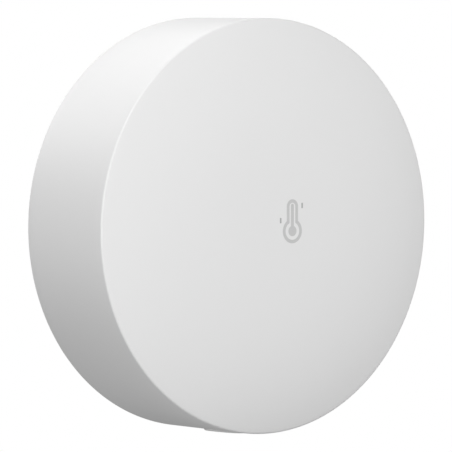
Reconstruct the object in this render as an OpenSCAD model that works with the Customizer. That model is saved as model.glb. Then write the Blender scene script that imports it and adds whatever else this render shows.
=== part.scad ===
// Round wall sensor for temperature and humidity.
// A drafted cup with a crowned front snaps over a rear cover.
// The cover carries the board, the coin cell and the bayonet door that lets the cell out.
// The wall is the plane y = 0, the front looks along -Y and +Z is up.
// Shapes are drawn lying down, with their heights measured from the wall, and upright() stands them up.

/* [Body] */
// Diameter of the shell at its back edge
body_d = 36; // [35:0.5:44]
// Wall left between the button's aperture and the front rim
rim_land = 1.55; // [0.3:0.05:4]
// Draft of the side wall, in degrees
wall_draft = 2.25; // [0.5:0.25:3]
// Height of the front's crown above the rim
crown_h = 1.4; // [0.6:0.1:2.4]
// How long the crown stays flat before it falls to the rim
crown_power = 3; // [2:0.25:4]
// Wall thickness of the shell
shell_t = 1.3; // [1:0.1:1.6]
// Rounding of the front rim
rim_fillet = 0.2; // [0.1:0.05:0.6]
// Rounding of the back edge
back_fillet = 0.15; // [0.1:0.05:0.8]

/* [Adhesive pad] */
// Thickness of the foam ring
pad_t = 0.8; // [0.5:0.1:1.5]
// Depth of the recess that the ring is stuck in
pad_recess = 0.3; // [0.1:0.05:0.45]
// Land left on both sides of that recess
pad_land = 0.45; // [0.35:0.05:0.9]

/* [Rear cover] */
// Thickness of the plate
cover_t = 1.2; // [1:0.1:1.4]
// Thickness of the upright rim
cover_rim_t = 1; // [0.8:0.1:1.3]
// How far the rim's top stays below the board
cover_rim_drop = 0.5; // [0.3:0.1:1]
// How far a snap bead stands proud of the rim
snap_h = 0.3; // [0.2:0.05:0.45]
// Height of a snap bead along the rim
snap_l = 1.2; // [0.8:0.1:1.6]
// Sweep of a snap bead round the rim, in degrees
snap_angle = 24; // [12:2:36]
// Number of snap beads
snap_count = 4; // [3:1:5]
// Width of the rib that keys the cover to the shell
key_w = 1.4; // [1:0.1:2.4]
// How far that rib stands in from the shell's wall
key_h = 0.8; // [0.5:0.1:1]
// Thickness of the ribs between the housing of the lugs and the upright rim
rib_t = 0.7; // [0.5:0.05:1]
// Height of those ribs above the plate
rib_h = 1.6; // [0.8:0.1:1.8]
// Angle between a screw boss and the ribs beside it
rib_turn = 36; // [20:1:42]
// Wall of the cell's well and of the housing round the lugs
well_t = 0.9; // [0.7:0.05:1.1]
// Thickness of the well's floor, under the board
well_floor_t = 0.6; // [0.5:0.1:1]
// Diameter of the window in the well's floor
well_window_d = 11; // [9:0.5:13]

/* [Battery door] */
// Thickness of the door's floor
door_floor_t = 1.4; // [1.2:0.1:1.8]
// Thickness of the flange that covers the ledge
door_flange_t = 0.8; // [0.6:0.1:1]
// How far the flange reaches past the lugs
door_flange_reach = 0.15; // [0.1:0.05:0.4]
// Wall of the hub round the cell
hub_t = 0.7; // [0.6:0.05:0.9]
// Thickness of the ledge that the lugs turn behind
ledge_t = 0.75; // [0.6:0.05:0.9]
// Number of bayonet lugs
lug_count = 3; // [2:1:3]
// How far a lug reaches past the hub
lug_reach = 0.9; // [0.7:0.05:1.2]
// Thickness of a lug
lug_t = 0.7; // [0.5:0.05:0.9]
// Sweep of a lug, in degrees
lug_angle = 24; // [16:1:30]
// Turn that frees the door, in degrees
door_turn = 40; // [36:1:60]
// Length of the coin slot
coin_slot_l = 13; // [10:0.5:16]
// Width of the coin slot
coin_slot_w = 1.8; // [1.4:0.1:2.4]
// Depth of the coin slot at its middle
coin_slot_depth = 0.8; // [0.5:0.05:1]

/* [Coin cell] */
// Diameter of the cell
cell_d = 20; // [16:0.5:20.5]
// Thickness of the cell
cell_t = 3.2; // [2.5:0.1:3.6]
// Width of the crimped edge and seal round the cap
crimp_w = 1.1; // [0.8:0.1:2]
// Sheet thickness of the can
can_t = 0.3; // [0.2:0.05:0.4]
// How far the cap stands above the can's edge
cap_proud = 0.3; // [0.1:0.05:0.5]
// Depth of the seal between the can and the cap
seal_depth = 0.5; // [0.3:0.1:0.8]
// Rounding of the can's and the cap's edges
cell_fillet = 0.25; // [0.1:0.05:0.4]

/* [Board] */
// Thickness of the board
board_t = 1; // [0.8:0.1:1.6]
// Gap between the board's edge and the shell
board_gap = 0.5; // [0.3:0.1:0.8]
// Depth of the flat at the button
flat_depth = 2; // [1.6:0.1:2.4]
// Space between the well's floor and the board
board_lift = 0.2; // [0.1:0.05:0.5]
// Diameter of a screw boss
boss_d = 3.6; // [3:0.1:4]
// Shank diameter of a board screw
screw_d = 1.4; // [1:0.1:1.8]
// Shank length of a board screw
screw_l = 4; // [3:0.25:5]
// Head diameter of a board screw
screw_head_d = 2.8; // [2.2:0.1:3.2]
// Head height of a board screw
screw_head_h = 0.9; // [0.6:0.1:1.2]
// Inner radius of the milled slot that keeps board heat off the sensor
moat_r = 2.3; // [2:0.1:2.6]
// Width of that slot
moat_w = 0.7; // [0.5:0.1:1]

/* [Cell contacts] */
// Sheet thickness of a contact
contact_t = 0.2; // [0.1:0.05:0.3]
// Width of a contact
contact_w = 3; // [2:0.25:4]

/* [Pairing button] */
// Width of the button, along the wall's curve
button_w = 7.75; // [5:0.25:9]
// Height of the button, along the body's depth
button_h = 4.2; // [3:0.1:4.4]
// How far the button's middle lies behind the middle of the switch
button_drop = 1; // [0:0.1:1.2]
// How far the button stands proud of the wall
button_proud = 0.2; // [0.1:0.05:0.5]
// Travel of the button
button_travel = 0.3; // [0.2:0.05:0.5]
// How far the retaining ears reach past the button's ends
ear_reach = 0.8; // [0.5:0.1:1.2]
// Height of the retaining ears
ear_h = 2; // [1.6:0.1:2.4]
// Thickness of the retaining ears
ear_t = 0.7; // [0.5:0.05:0.9]
// Diameter of the stem that works the switch
stem_d = 1.2; // [0.8:0.1:1.4]

/* [Switch] */
// Width of the switch
switch_w = 4.6; // [3.6:0.1:5]
// Depth of the switch, away from the button
switch_l = 2.2; // [1.8:0.1:3]
// Height of the switch above the board
switch_h = 1.6; // [1.4:0.1:1.8]
// How far the switch stands back from the board's flat
switch_setback = 0.3; // [0.1:0.05:0.5]
// Width of the plunger
plunger_w = 2; // [1.6:0.1:2.4]
// Height of the plunger
plunger_h = 0.9; // [0.7:0.05:1]
// How far the plunger stands out of the switch
plunger_l = 0.6; // [0.5:0.05:0.8]
// Sheet thickness of the switch's cover
switch_cover_t = 0.15; // [0.1:0.05:0.2]

/* [Chips] */
// Side of the radio chip
radio_side = 5; // [4:0.25:6]
// Height of the radio chip
radio_h = 0.85; // [0.6:0.05:1.1]
// Leads on each side of the radio chip
radio_leads = 8; // [5:1:10]
// Side of the sensor chip
sensor_side = 2.5; // [1.5:0.1:3]
// Height of the sensor chip
sensor_h = 0.9; // [0.6:0.05:1.1]
// Diameter of the sensor's air hole
sensor_hole_d = 1; // [0.6:0.1:1.2]
// Length of the crystal
crystal_l = 3.2; // [2:0.1:4]
// Width of the crystal
crystal_w = 2.5; // [1.6:0.1:3]
// Height of the crystal
crystal_h = 0.8; // [0.5:0.05:1]
// Length of the status light
led_l = 1.6; // [1:0.1:2]
// Width of the status light
led_w = 0.8; // [0.5:0.05:1]
// Height of the status light
led_h = 0.7; // [0.4:0.05:0.9]
// Length of a capacitor
capacitor_l = 1.6; // [1:0.1:1.8]
// Width of a capacitor
capacitor_w = 0.8; // [0.5:0.05:0.9]
// Number of capacitors
capacitor_count = 4; // [2:1:4]
// Length of a resistor
resistor_l = 1; // [0.6:0.1:1.6]
// Width of a resistor
resistor_w = 0.5; // [0.3:0.05:0.8]
// Number of resistors
resistor_count = 5; // [2:1:6]

/* [Antenna] */
// Width of the copper track
track_w = 0.6; // [0.3:0.05:0.8]
// Thickness of the copper track
track_t = 0.1; // [0.05:0.05:0.2]
// Length of a fold of the antenna
antenna_l = 4.2; // [3:0.2:5]
// Pitch of the folds
antenna_pitch = 1.5; // [1.2:0.1:1.6]
// Number of folds
antenna_folds = 5; // [3:1:5]

/* [Vents] */
// Number of vent slots
vent_count = 4; // [2:1:5]
// Width of a vent slot
vent_w = 0.8; // [0.6:0.05:1]
// Length of a vent slot, along the body's depth
vent_l = 2.8; // [2:0.1:3]
// Angle between vent slots, in degrees
vent_pitch = 6; // [5:0.5:8]

/* [Clearances] */
// Gap between the rear cover and the shell
fit_gap = 0.1; // [0.05:0.05:0.2]
// Gap round the turning door
turn_gap = 0.15; // [0.1:0.05:0.25]
// Gap above and below the door's flange and lugs
lift_gap = 0.05; // [0.03:0.01:0.1]
// Gap round the sliding button and plunger
slide_gap = 0.15; // [0.1:0.05:0.2]
// Gap round the cell
cell_gap = 0.3; // [0.2:0.05:0.4]
// Gap at each end of the cell
cell_play = 0.1; // [0.05:0.05:0.2]
// Gap between a pressed-in or soldered piece and its seat
seat_gap = 0.03; // [0.02:0.01:0.05]

/* [Hidden] */

$fn = 96;
// How far a cutting shape runs past what it cuts
over = 1;
// Straight steps in the crown's curve and in a small fillet
crown_steps = 20;
fillet_steps = 5;

// Angles round the body, seen from the front and counted from the right
button_at = 270;
vent_at = 300;
contact_at = 150;
key_at = 70;
snap_at = 45;
boss_angles = [90, 210, 330];
// Door lugs at rest, with the door turned home
lug_angles = [for (i = [0:lug_count - 1]) 90 + i * 360 / lug_count];
// Play of a lug between its stops, in degrees
play_angle = 2;

// Heights from the wall of the back plane and the cell
back_z = pad_t - pad_recess;
plate_z = back_z + cover_t;
cell_z = back_z + door_floor_t + cell_play;
cell_top_z = cell_z + cell_t;
can_top_z = cell_top_z - cap_proud;
seal_z = can_top_z - seal_depth;
well_floor_z = cell_top_z + cell_play;
well_top_z = well_floor_z + well_floor_t;

// Heights of the board, of the stem that works its switch, of the button's middle and of the rim above it
board_z = well_top_z + board_lift;
board_top_z = board_z + board_t;
button_z = board_top_z + switch_h / 2;
cap_z = button_z - button_drop;
rim_z = cap_z + button_h / 2 + slide_gap + rim_land;
cover_rim_z = board_z - cover_rim_drop;
snap_z = (plate_z + cover_rim_z) / 2;

// Heights of the bayonet
ledge_z = back_z + door_flange_t + lift_gap;
ledge_top_z = ledge_z + ledge_t;
lug_z = ledge_top_z + lift_gap;
lug_top_z = lug_z + lug_t;
track_top_z = lug_top_z + lift_gap;
housing_z = track_top_z + well_t;

// Radii of the cell, its well and the bayonet, from the inside out
cell_r = cell_d / 2;
cap_r = cell_r - crimp_w;
well_r = cell_r + cell_gap;
well_out_r = well_r + well_t;
hub_r = well_r + hub_t;
opening_r = hub_r + turn_gap;
lug_r = hub_r + lug_reach;
track_r = lug_r + turn_gap;
flange_r = lug_r + door_flange_reach;
recess_r = flange_r + turn_gap;
housing_r = track_r + well_t;

// Radii of the drafted wall, outside and inside, and of the cover that slides into it
function outer_r(z) = body_d / 2 - (z - back_z) * tan(wall_draft);
function inner_r(z) = outer_r(z) - shell_t;
function cover_r(z) = inner_r(z) - fit_gap;
rim_r = outer_r(rim_z);
ceiling_r = inner_r(rim_z - shell_t);
cover_rim_r = cover_r(cover_rim_z) - cover_rim_t;
board_r = inner_r(board_top_z) - board_gap;
board_flat = board_r - flat_depth;
switch_front = board_flat - switch_setback;
plunger_tip = switch_front + plunger_l;

// Radii of the button, which slides along its own radius
ear_r = inner_r(button_z + ear_h / 2) - fit_gap;
ear_in_r = ear_r - ear_t;
button_in_r = sqrt(pow(ear_r - ear_t / 4, 2) - pow(button_w / 2, 2));
aperture_in_r = button_in_r - button_travel - slide_gap;

// The bosses merge with the cover's rim
boss_sink = 0.2;
boss_ring_r = cover_rim_r - boss_d / 2 + boss_sink;
pilot_depth = screw_l - board_t + 2 * seat_gap;

// The pad's land lies between the door's recess and the cover's edge
pad_in_r = recess_r + pad_land + fit_gap;
pad_out_r = cover_r(back_z) - pad_land - fit_gap;

// The coin slot's round bottom
coin_r = (pow(coin_slot_l / 2, 2) + pow(coin_slot_depth, 2)) / (2 * coin_slot_depth);

// Places on the board's front, seen from the front
radio_at = [-4.5, 2.5];
crystal_at = [-4.5, 7.6];
led_at = [1.2, 0.5];
antenna_at = [3.6, 5.6];
capacitors_at = [0.6, 5.4];
resistors_at = [-8.8, 4.5];
capacitor_pitch = 1.5;
resistor_pitch = 1.1;
switch_at = [0, switch_l / 2 - switch_front];
sensor_ring_r = board_r - 3;
moat_turn = 200;

// Height of the front over a radius, and the fall of the crown at the rim, in degrees
function crown_z(r) = rim_z + crown_h * (1 - pow(r / rim_r, crown_power));
crown_fall = atan(crown_power * crown_h / rim_r);

// Points of a fillet at corner c, between two faces whose outward normals lie at angles a and b
function heading(a) = [cos(a), sin(a)];
function fillet_centre(c, a, b, f) = c - f * (heading(a) + heading(b)) / (1 + cos(a - b));
function fillet(c, a, b, f) = [
    for (i = [0:fillet_steps])
        fillet_centre(c, a, b, f) + f * heading(a + (b - a) * i / fillet_steps)
];

// Half section of the shell
crown_end_r = fillet([rim_r, rim_z], 90 - crown_fall, wall_draft, rim_fillet)[0][0];
snap_groove = snap_h + fit_gap;
shell_section = concat(
    [for (i = [0:crown_steps - 1]) let (r = crown_end_r * i / crown_steps) [r, crown_z(r)]],
    fillet([rim_r, rim_z], 90 - crown_fall, wall_draft, rim_fillet),
    fillet([outer_r(back_z), back_z], wall_draft, -90, back_fillet),
    [
        [inner_r(back_z), back_z],
        [inner_r(snap_z - snap_l / 2 - fit_gap), snap_z - snap_l / 2 - fit_gap],
        [inner_r(snap_z) + snap_groove - fit_gap, snap_z],
        [inner_r(snap_z + snap_l / 2 + fit_gap), snap_z + snap_l / 2 + fit_gap]
    ],
    [for (i = [crown_steps:-1:0]) let (r = ceiling_r * i / crown_steps) [r, crown_z(r) - shell_t]]
);

// Half section of the cover's plate and rim, with a lead-in at the rim's top
lead_in = 0.3;
cover_section = [
    [0, back_z],
    [cover_r(back_z), back_z],
    [cover_r(cover_rim_z - lead_in), cover_rim_z - lead_in],
    [cover_r(cover_rim_z) - lead_in, cover_rim_z],
    [cover_rim_r, cover_rim_z],
    [cover_rim_r, plate_z],
    [0, plate_z]
];

// Half sections of the cell's can and cap
can_section = concat(
    [[0, cell_z]],
    fillet([cell_r, cell_z], -90, 0, cell_fillet),
    fillet([cell_r, can_top_z], 0, 90, min(cell_fillet, can_t / 2)),
    [[cell_r - can_t, can_top_z], [cell_r - can_t, seal_z], [0, seal_z]]
);
cap_section = concat(
    [[0, seal_z], [cap_r, seal_z]],
    fillet([cap_r, cell_top_z], 0, 90, cell_fillet),
    [[0, cell_top_z]]
);

// Stands a lying shape up against the wall
module upright() {
    rotate([90, 0, 0])
        children();
}

// Ring or disc between two heights, over a whole turn or a part of one
module ring(r_in, r_out, z0, z1, from = 0, turn = 360) {
    rotate([0, 0, from])
        rotate_extrude(angle = turn)
            translate([r_in, z0])
                square([r_out - r_in, z1 - z0]);
}

// Points a flat outline outwards at an angle round the body, starting from a radius
module outwards(angle, r, z) {
    rotate([0, 0, angle])
        translate([r, 0, z])
            rotate([0, 90, 0])
                children();
}

// Slot outline with round ends
module pill(l, w) {
    square([l - w, w], center = true);
    for (side = [-1, 1])
        translate([side * (l - w) / 2, 0])
            circle(d = w);
}

// Block that stands on a height, centred on a place
module block(at, size, z) {
    translate([at[0] - size[0] / 2, at[1] - size[1] / 2, z])
        cube(size);
}

// Repeats a shape at each boss
module at_bosses() {
    for (angle = boss_angles)
        rotate([0, 0, angle])
            translate([boss_ring_r, 0, 0])
                children();
}

// Button outline, grown by a gap
module button_outline(gap = 0) {
    rotate(90)
        pill(button_w + 2 * gap, button_h + 2 * gap);
}

module button_aperture() {
    outwards(button_at, aperture_in_r, cap_z)
        linear_extrude(body_d / 2 - aperture_in_r + over)
            button_outline(slide_gap);
}

// Round notch in the cover's rim that the button dips into
module button_notch() {
    outwards(button_at, cover_rim_r - over, cap_z)
        linear_extrude(cover_rim_t + 2 * over)
            button_outline(2 * slide_gap);
}

module vents() {
    for (i = [0:vent_count - 1])
        outwards(vent_at + (i - (vent_count - 1) / 2) * vent_pitch, ceiling_r - over, button_z)
            linear_extrude(body_d / 2 - ceiling_r + 2 * over)
                pill(vent_l, vent_w);
}

// Rib of the key between the shell and the cover, or with a gap the slot that it stands in
module key(gap = 0) {
    rib = [key_h + shell_t / 2, key_w, cover_rim_z - plate_z - fit_gap];
    rotate([0, 0, key_at])
        translate([inner_r(cover_rim_z) - key_h - gap, -key_w / 2 - gap, plate_z + fit_gap - gap])
            cube(rib + gap * [2, 2, 2]);
}

module front_shell() {
    color("white")
        upright()
            difference() {
                union() {
                    rotate_extrude()
                        polygon(shell_section);
                    key();
                }
                button_aperture();
                vents();
            }
}

// Beads round the cover's rim that click into the shell's groove
module snap_beads() {
    bead = [
        [cover_r(snap_z) - snap_h, snap_z - snap_l],
        [cover_r(snap_z) + snap_h, snap_z],
        [cover_r(snap_z) - snap_h, snap_z + snap_l]
    ];
    for (i = [0:snap_count - 1])
        rotate([0, 0, snap_at + i * 360 / snap_count - snap_angle / 2])
            rotate_extrude(angle = snap_angle)
                polygon(bead);
}

// Ribs that brace the upright rim against the housing of the lugs, two beside each boss
module cover_ribs() {
    rib_in_r = housing_r - well_t / 2;
    rib_out_r = cover_rim_r + cover_rim_t / 2;
    for (angle = boss_angles, side = [-1, 1])
        rotate([0, 0, angle + side * rib_turn])
            translate([rib_in_r, -rib_t / 2, plate_z - cover_t / 2])
                cube([rib_out_r - rib_in_r, rib_t, rib_h + cover_t / 2]);
}

// The way in for the door's lugs, and the track that they turn in behind the ledge
module bayonet_track() {
    ring(0, recess_r, back_z - over, ledge_z);
    ring(0, opening_r, ledge_z - over, track_top_z);
    for (angle = lug_angles) {
        half = lug_angle / 2 + play_angle;
        ring(0, track_r, ledge_z - over, ledge_top_z + over, angle - door_turn - half, 2 * half);
        ring(0, track_r, ledge_top_z, track_top_z, angle - door_turn - half, door_turn + 2 * half);
    }
}

module rear_cover() {
    color("whitesmoke")
        upright()
            difference() {
                union() {
                    rotate_extrude()
                        polygon(cover_section);
                    snap_beads();
                    cover_ribs();
                    ring(0, housing_r, back_z, housing_z);
                    ring(0, well_out_r, back_z, well_top_z);
                    at_bosses()
                        translate([0, 0, back_z])
                            cylinder(d = boss_d, h = board_z - back_z);
                }
                bayonet_track();
                ring(0, well_r, ledge_z, well_floor_z);
                ring(0, well_window_d / 2, ledge_z, well_top_z + over);
                ring(pad_in_r - fit_gap, pad_out_r + fit_gap, back_z - over, back_z + pad_recess);
                at_bosses()
                    translate([0, 0, board_z - pilot_depth])
                        cylinder(d = screw_d + 2 * seat_gap, h = pilot_depth + over);
                rotate([0, 0, contact_at])
                    translate([well_r - contact_t - over, -contact_w / 2 - cell_gap, housing_z])
                        cube([well_t + contact_t + 2 * over, contact_w + 2 * cell_gap, well_top_z]);
                key(fit_gap);
                button_notch();
            }
}

module battery_door() {
    color("white")
        upright()
            difference() {
                union() {
                    ring(0, flange_r, back_z, back_z + door_flange_t);
                    ring(0, hub_r, back_z, lug_top_z);
                    for (angle = lug_angles)
                        ring(hub_r - hub_t / 2, lug_r, lug_z, lug_top_z, angle - lug_angle / 2, lug_angle);
                }
                ring(0, well_r, back_z + door_floor_t, lug_top_z + over);
                translate([0, coin_slot_w / 2, back_z + coin_slot_depth - coin_r])
                    rotate([90, 0, 0])
                        cylinder(r = coin_r, h = coin_slot_w);
            }
}

module adhesive_pad() {
    color("gainsboro")
        upright()
            ring(pad_in_r, pad_out_r, 0, pad_t);
}

module cell_can() {
    color("silver")
        upright()
            rotate_extrude()
                polygon(can_section);
}

module cell_gasket() {
    color("dimgray")
        upright()
            ring(cap_r + seat_gap, cell_r - can_t - seat_gap, seal_z, can_top_z);
}

module cell_cap() {
    color("lightgray")
        upright()
            rotate_extrude()
                polygon(cap_section);
}

// Turns a shape to the place of the sensor chip, beside the vents
module at_sensor() {
    rotate([0, 0, vent_at])
        translate([sensor_ring_r, 0, 0])
            children();
}

module main_board() {
    color("darkgreen")
        upright()
            difference() {
                ring(0, board_r, board_z, board_top_z);
                translate([-board_r, -board_flat - board_r, board_z - over])
                    cube([2 * board_r, board_r, board_t + 2 * over]);
                at_bosses()
                    translate([0, 0, board_z - over])
                        cylinder(d = screw_d + 2 * slide_gap, h = board_t + 2 * over);
                at_sensor()
                    rotate([0, 0, 180 - moat_turn / 2])
                        ring(moat_r, moat_r + moat_w, board_z - over, board_top_z + over, turn = moat_turn);
            }
}

// Blade that grips the can's side, hung from a foot under the board
module positive_contact() {
    foot_l = 2.4;
    leg_r = cell_r + cell_gap - contact_t / 2;
    touch_r = cell_r + seat_gap;
    leg_z = [well_floor_z, (housing_z + well_floor_z) / 2, housing_z + fit_gap];
    side = [
        [leg_r, board_z],
        [leg_r + foot_l, board_z],
        [leg_r + foot_l, board_z - contact_t],
        [leg_r + contact_t, board_z - contact_t],
        [leg_r + contact_t, leg_z[0]],
        [touch_r + contact_t, leg_z[1]],
        [leg_r + contact_t, leg_z[2]],
        [leg_r, leg_z[2]],
        [touch_r, leg_z[1]],
        [leg_r, leg_z[0]]
    ];
    color("silver")
        upright()
            rotate([0, 0, contact_at])
                translate([0, contact_w / 2, 0])
                    rotate([90, 0, 0])
                        linear_extrude(contact_w)
                            polygon(side);
}

// Blade that presses on the middle of the cap, through the window in the well's floor
module negative_contact() {
    foot_l = 1.8;
    foot_margin = 1.1;
    touch_l = 1.6;
    curl_l = 1;
    foot_x = foot_margin - well_window_d / 2;
    touch_z = cell_top_z + seat_gap + contact_t;
    upper = [
        [foot_x, board_z],
        [foot_x + foot_l, board_z],
        [-touch_l / 2, touch_z],
        [touch_l / 2, touch_z],
        [touch_l / 2 + curl_l, touch_z + contact_t]
    ];
    lower = [for (i = [len(upper) - 1:-1:0]) upper[i] - [0, contact_t]];
    color("silver")
        upright()
            translate([0, contact_w / 2, 0])
                rotate([90, 0, 0])
                    linear_extrude(contact_w)
                        polygon(concat(upper, lower));
}

// Flat chip with a row of leads along each side and a mark by its first lead
module radio_chip() {
    lead_pitch = radio_side / (radio_leads + 1);
    lead_w = lead_pitch / 2;
    lead_l = radio_side + 0.1;
    lead_h = 0.2;
    mark_d = 0.5;
    mark_depth = 0.1;
    mark_at = radio_at + radio_side * [-0.36, 0.36];
    color("dimgray")
        upright()
            difference() {
                union() {
                    block(radio_at, [radio_side, radio_side, radio_h], board_top_z);
                    for (i = [1:radio_leads]) {
                        shift = i * lead_pitch - radio_side / 2;
                        block(radio_at + [shift, 0], [lead_w, lead_l, lead_h], board_top_z);
                        block(radio_at + [0, shift], [lead_l, lead_w, lead_h], board_top_z);
                    }
                }
                translate([mark_at[0], mark_at[1], board_top_z + radio_h - mark_depth])
                    cylinder(d = mark_d, h = over);
            }
}

// Metal lid on a ceramic base
module radio_crystal() {
    base_h = crystal_h / 2;
    step = 0.15;
    lid = [crystal_l - 2 * step, crystal_w - 2 * step, crystal_h - base_h];
    color("gold")
        upright() {
            block(crystal_at, [crystal_l, crystal_w, base_h], board_top_z);
            block(crystal_at, lid, board_top_z + base_h);
        }
}

// Chip with an air hole over its sensing film
module sensor_chip() {
    color("dimgray")
        upright()
            at_sensor()
                difference() {
                    block([0, 0], [sensor_side, sensor_side, sensor_h], board_top_z);
                    translate([0, 0, board_top_z + sensor_h / 2])
                        cylinder(d = sensor_hole_d, h = sensor_h);
                }
}

// Clear lens on a small base
module status_led() {
    base_h = led_h * 0.4;
    lens_l = led_l * 0.68;
    color("honeydew")
        upright() {
            block(led_at, [led_l, led_w, base_h], board_top_z);
            block(led_at, [lens_l, led_w, led_h - base_h], board_top_z + base_h);
        }
}

module chip_capacitors() {
    chip = [capacitor_l, capacitor_w, capacitor_w];
    color("burlywood")
        upright()
            for (i = [0:capacitor_count - 1])
                block(capacitors_at + [0, i * capacitor_pitch], chip, board_top_z);
}

module chip_resistors() {
    chip = [resistor_l, resistor_w, resistor_w * 0.7];
    color("black")
        upright()
            for (i = [0:resistor_count - 1])
                block(resistors_at - [0, i * resistor_pitch], chip, board_top_z);
}

// Copper track that folds to and fro
module antenna_trace() {
    color("orange")
        upright()
            translate([antenna_at[0], antenna_at[1], board_top_z])
                linear_extrude(track_t) {
                    for (i = [0:antenna_folds - 1])
                        translate([i * antenna_pitch, 0])
                            square([track_w, antenna_l]);
                    for (i = [0:antenna_folds - 2])
                        translate([i * antenna_pitch, i % 2 == 0 ? antenna_l - track_w : 0])
                            square([antenna_pitch + track_w, track_w]);
                }
}

module switch_body() {
    pocket_l = plunger_l + button_travel + slide_gap;
    pocket = [plunger_w + 2 * slide_gap, 2 * pocket_l, plunger_h + 2 * slide_gap];
    color("black")
        upright()
            difference() {
                block(switch_at, [switch_w, switch_l, switch_h], board_top_z);
                block([0, -switch_front], pocket, button_z - pocket[2] / 2);
            }
}

// Folded steel lid over the switch
module switch_cover() {
    lap = switch_h * 0.6;
    lap_z = board_top_z + switch_h - lap;
    color("silver")
        upright()
            difference() {
                block(switch_at, [switch_w + 2 * switch_cover_t, switch_l, lap + switch_cover_t], lap_z);
                block(switch_at, [switch_w, switch_l + over, lap], lap_z);
            }
}

module switch_plunger() {
    color("white")
        upright()
            translate([-plunger_w / 2, -plunger_tip, button_z - plunger_h / 2])
                cube([plunger_w, 2 * plunger_l, plunger_h]);
}

// Cap that follows the wall's curve, held in by ears behind the wall
module pairing_button() {
    low_z = cap_z - button_h;
    high_z = cap_z + button_h;
    swollen_wall = [
        [0, low_z],
        [outer_r(low_z) + button_proud, low_z],
        [outer_r(high_z) + button_proud, high_z],
        [0, high_z]
    ];
    color("white")
        upright() {
            intersection() {
                outwards(button_at, button_in_r, cap_z)
                    linear_extrude(body_d)
                        button_outline();
                rotate_extrude()
                    polygon(swollen_wall);
            }
            intersection() {
                outwards(button_at, 0, button_z)
                    linear_extrude(body_d)
                        square([ear_h, button_w + 2 * ear_reach], center = true);
                ring(ear_in_r, ear_r, button_z - ear_h, button_z + ear_h);
            }
            outwards(button_at, plunger_tip, button_z)
                cylinder(d = stem_d, h = ear_r - plunger_tip);
        }
}

module board_screws() {
    color("silver")
        upright()
            at_bosses() {
                translate([0, 0, board_top_z])
                    cylinder(d = screw_head_d, h = screw_head_h);
                translate([0, 0, board_top_z - screw_l])
                    cylinder(d = screw_d, h = screw_l + screw_head_h / 2);
            }
}

front_shell();
rear_cover();
battery_door();
adhesive_pad();
cell_can();
cell_gasket();
cell_cap();
main_board();
positive_contact();
negative_contact();
radio_chip();
radio_crystal();
sensor_chip();
status_led();
chip_capacitors();
chip_resistors();
antenna_trace();
switch_body();
switch_cover();
switch_plunger();
pairing_button();
board_screws();
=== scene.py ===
import math

import bmesh
import bpy
from bpy.props import FloatProperty, FloatVectorProperty, IntProperty, PointerProperty
from mathutils import Matrix, Vector


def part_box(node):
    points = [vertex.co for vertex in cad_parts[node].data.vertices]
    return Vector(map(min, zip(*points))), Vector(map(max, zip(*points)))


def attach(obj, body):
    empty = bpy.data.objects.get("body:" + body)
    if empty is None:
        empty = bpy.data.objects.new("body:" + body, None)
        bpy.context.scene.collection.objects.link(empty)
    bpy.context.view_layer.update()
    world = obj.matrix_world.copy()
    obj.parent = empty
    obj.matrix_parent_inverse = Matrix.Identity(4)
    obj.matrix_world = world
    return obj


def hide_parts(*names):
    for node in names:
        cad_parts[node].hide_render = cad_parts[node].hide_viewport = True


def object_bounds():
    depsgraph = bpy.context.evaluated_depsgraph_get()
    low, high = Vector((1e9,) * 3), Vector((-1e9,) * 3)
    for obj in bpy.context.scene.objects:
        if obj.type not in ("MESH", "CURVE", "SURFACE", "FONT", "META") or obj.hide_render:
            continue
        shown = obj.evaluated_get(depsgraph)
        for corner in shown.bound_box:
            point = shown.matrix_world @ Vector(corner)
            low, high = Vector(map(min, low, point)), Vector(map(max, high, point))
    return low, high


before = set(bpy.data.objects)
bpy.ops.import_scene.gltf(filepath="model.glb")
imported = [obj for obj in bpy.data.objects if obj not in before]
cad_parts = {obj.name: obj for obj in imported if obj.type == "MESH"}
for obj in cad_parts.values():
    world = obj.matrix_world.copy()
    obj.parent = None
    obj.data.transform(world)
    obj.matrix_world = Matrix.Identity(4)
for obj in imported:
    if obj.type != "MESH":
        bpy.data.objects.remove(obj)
CAD_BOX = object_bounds()

bl_info = {
    "name": "Round Wall Sensor",
    "version": (1, 0, 0),
    "blender": (4, 5, 0),
    "location": "3D View > Sidebar > Sensor",
    "description": "Dresses the solids of a round temperature and humidity sensor",
    "category": "Object",
}

MM = 0.001
TURN = 2 * math.pi
WHITE = (1, 1, 1, 1)
SHELL_LOW, SHELL_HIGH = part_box("front_shell")
BUTTON_LOW, BUTTON_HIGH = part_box("pairing_button")
PAD_LOW, PAD_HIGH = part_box("adhesive_pad")
CAN_LOW, CAN_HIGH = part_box("cell_can")
CAP_LOW, CAP_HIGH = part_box("cell_cap")
SEAL_LOW, SEAL_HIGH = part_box("cell_gasket")
SCREWS_LOW, SCREWS_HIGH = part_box("board_screws")
# Distances from the mounting plane: the wall of the room that carries the sensor, at y = 0.
DOOR_BACK = -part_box("battery_door")[1].y
BOARD_FRONT = -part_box("main_board")[0].y

# Vertices closer than this are one: in a geometry tree, and in a CAD mesh.
MERGE, CAD_MERGE = 1e-7, 1e-6
# A vertex closer to a surface than this lies on it.
NEAR = 0.02 * MM
# Edges sharper than this many degrees are rounded.
SHARP = 35
# Radii between which the cutters of the vents and the button's mouth run.
CUT_FROM, CUT_TO = 12 * MM, 20 * MM
# Steps round a cutter's corners, and their radius as a share of its width: not quite half, which
# would leave a side without length.
CUT_STEPS, CUT_ROUND = 14, 0.4999
# Steps round an end and along a side of the button's outline, and round a fillet.
PILL_ENDS, PILL_SIDES, FILLET_STEPS = 16, 10, 8
# Steps round turned bodies.
STEPS_FOAM, STEPS_ROUND, STEPS_SCREW, STEPS_HOLE = 224, 160, 40, 14


def length(name, description, millimetres):
    return FloatProperty(
        name=name, description=description, default=millimetres * MM, unit="LENGTH", precision=5
    )


def depth(name, what, millimetres):
    return length(name, f"Distance of {what} from the mounting plane", millimetres)


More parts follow.
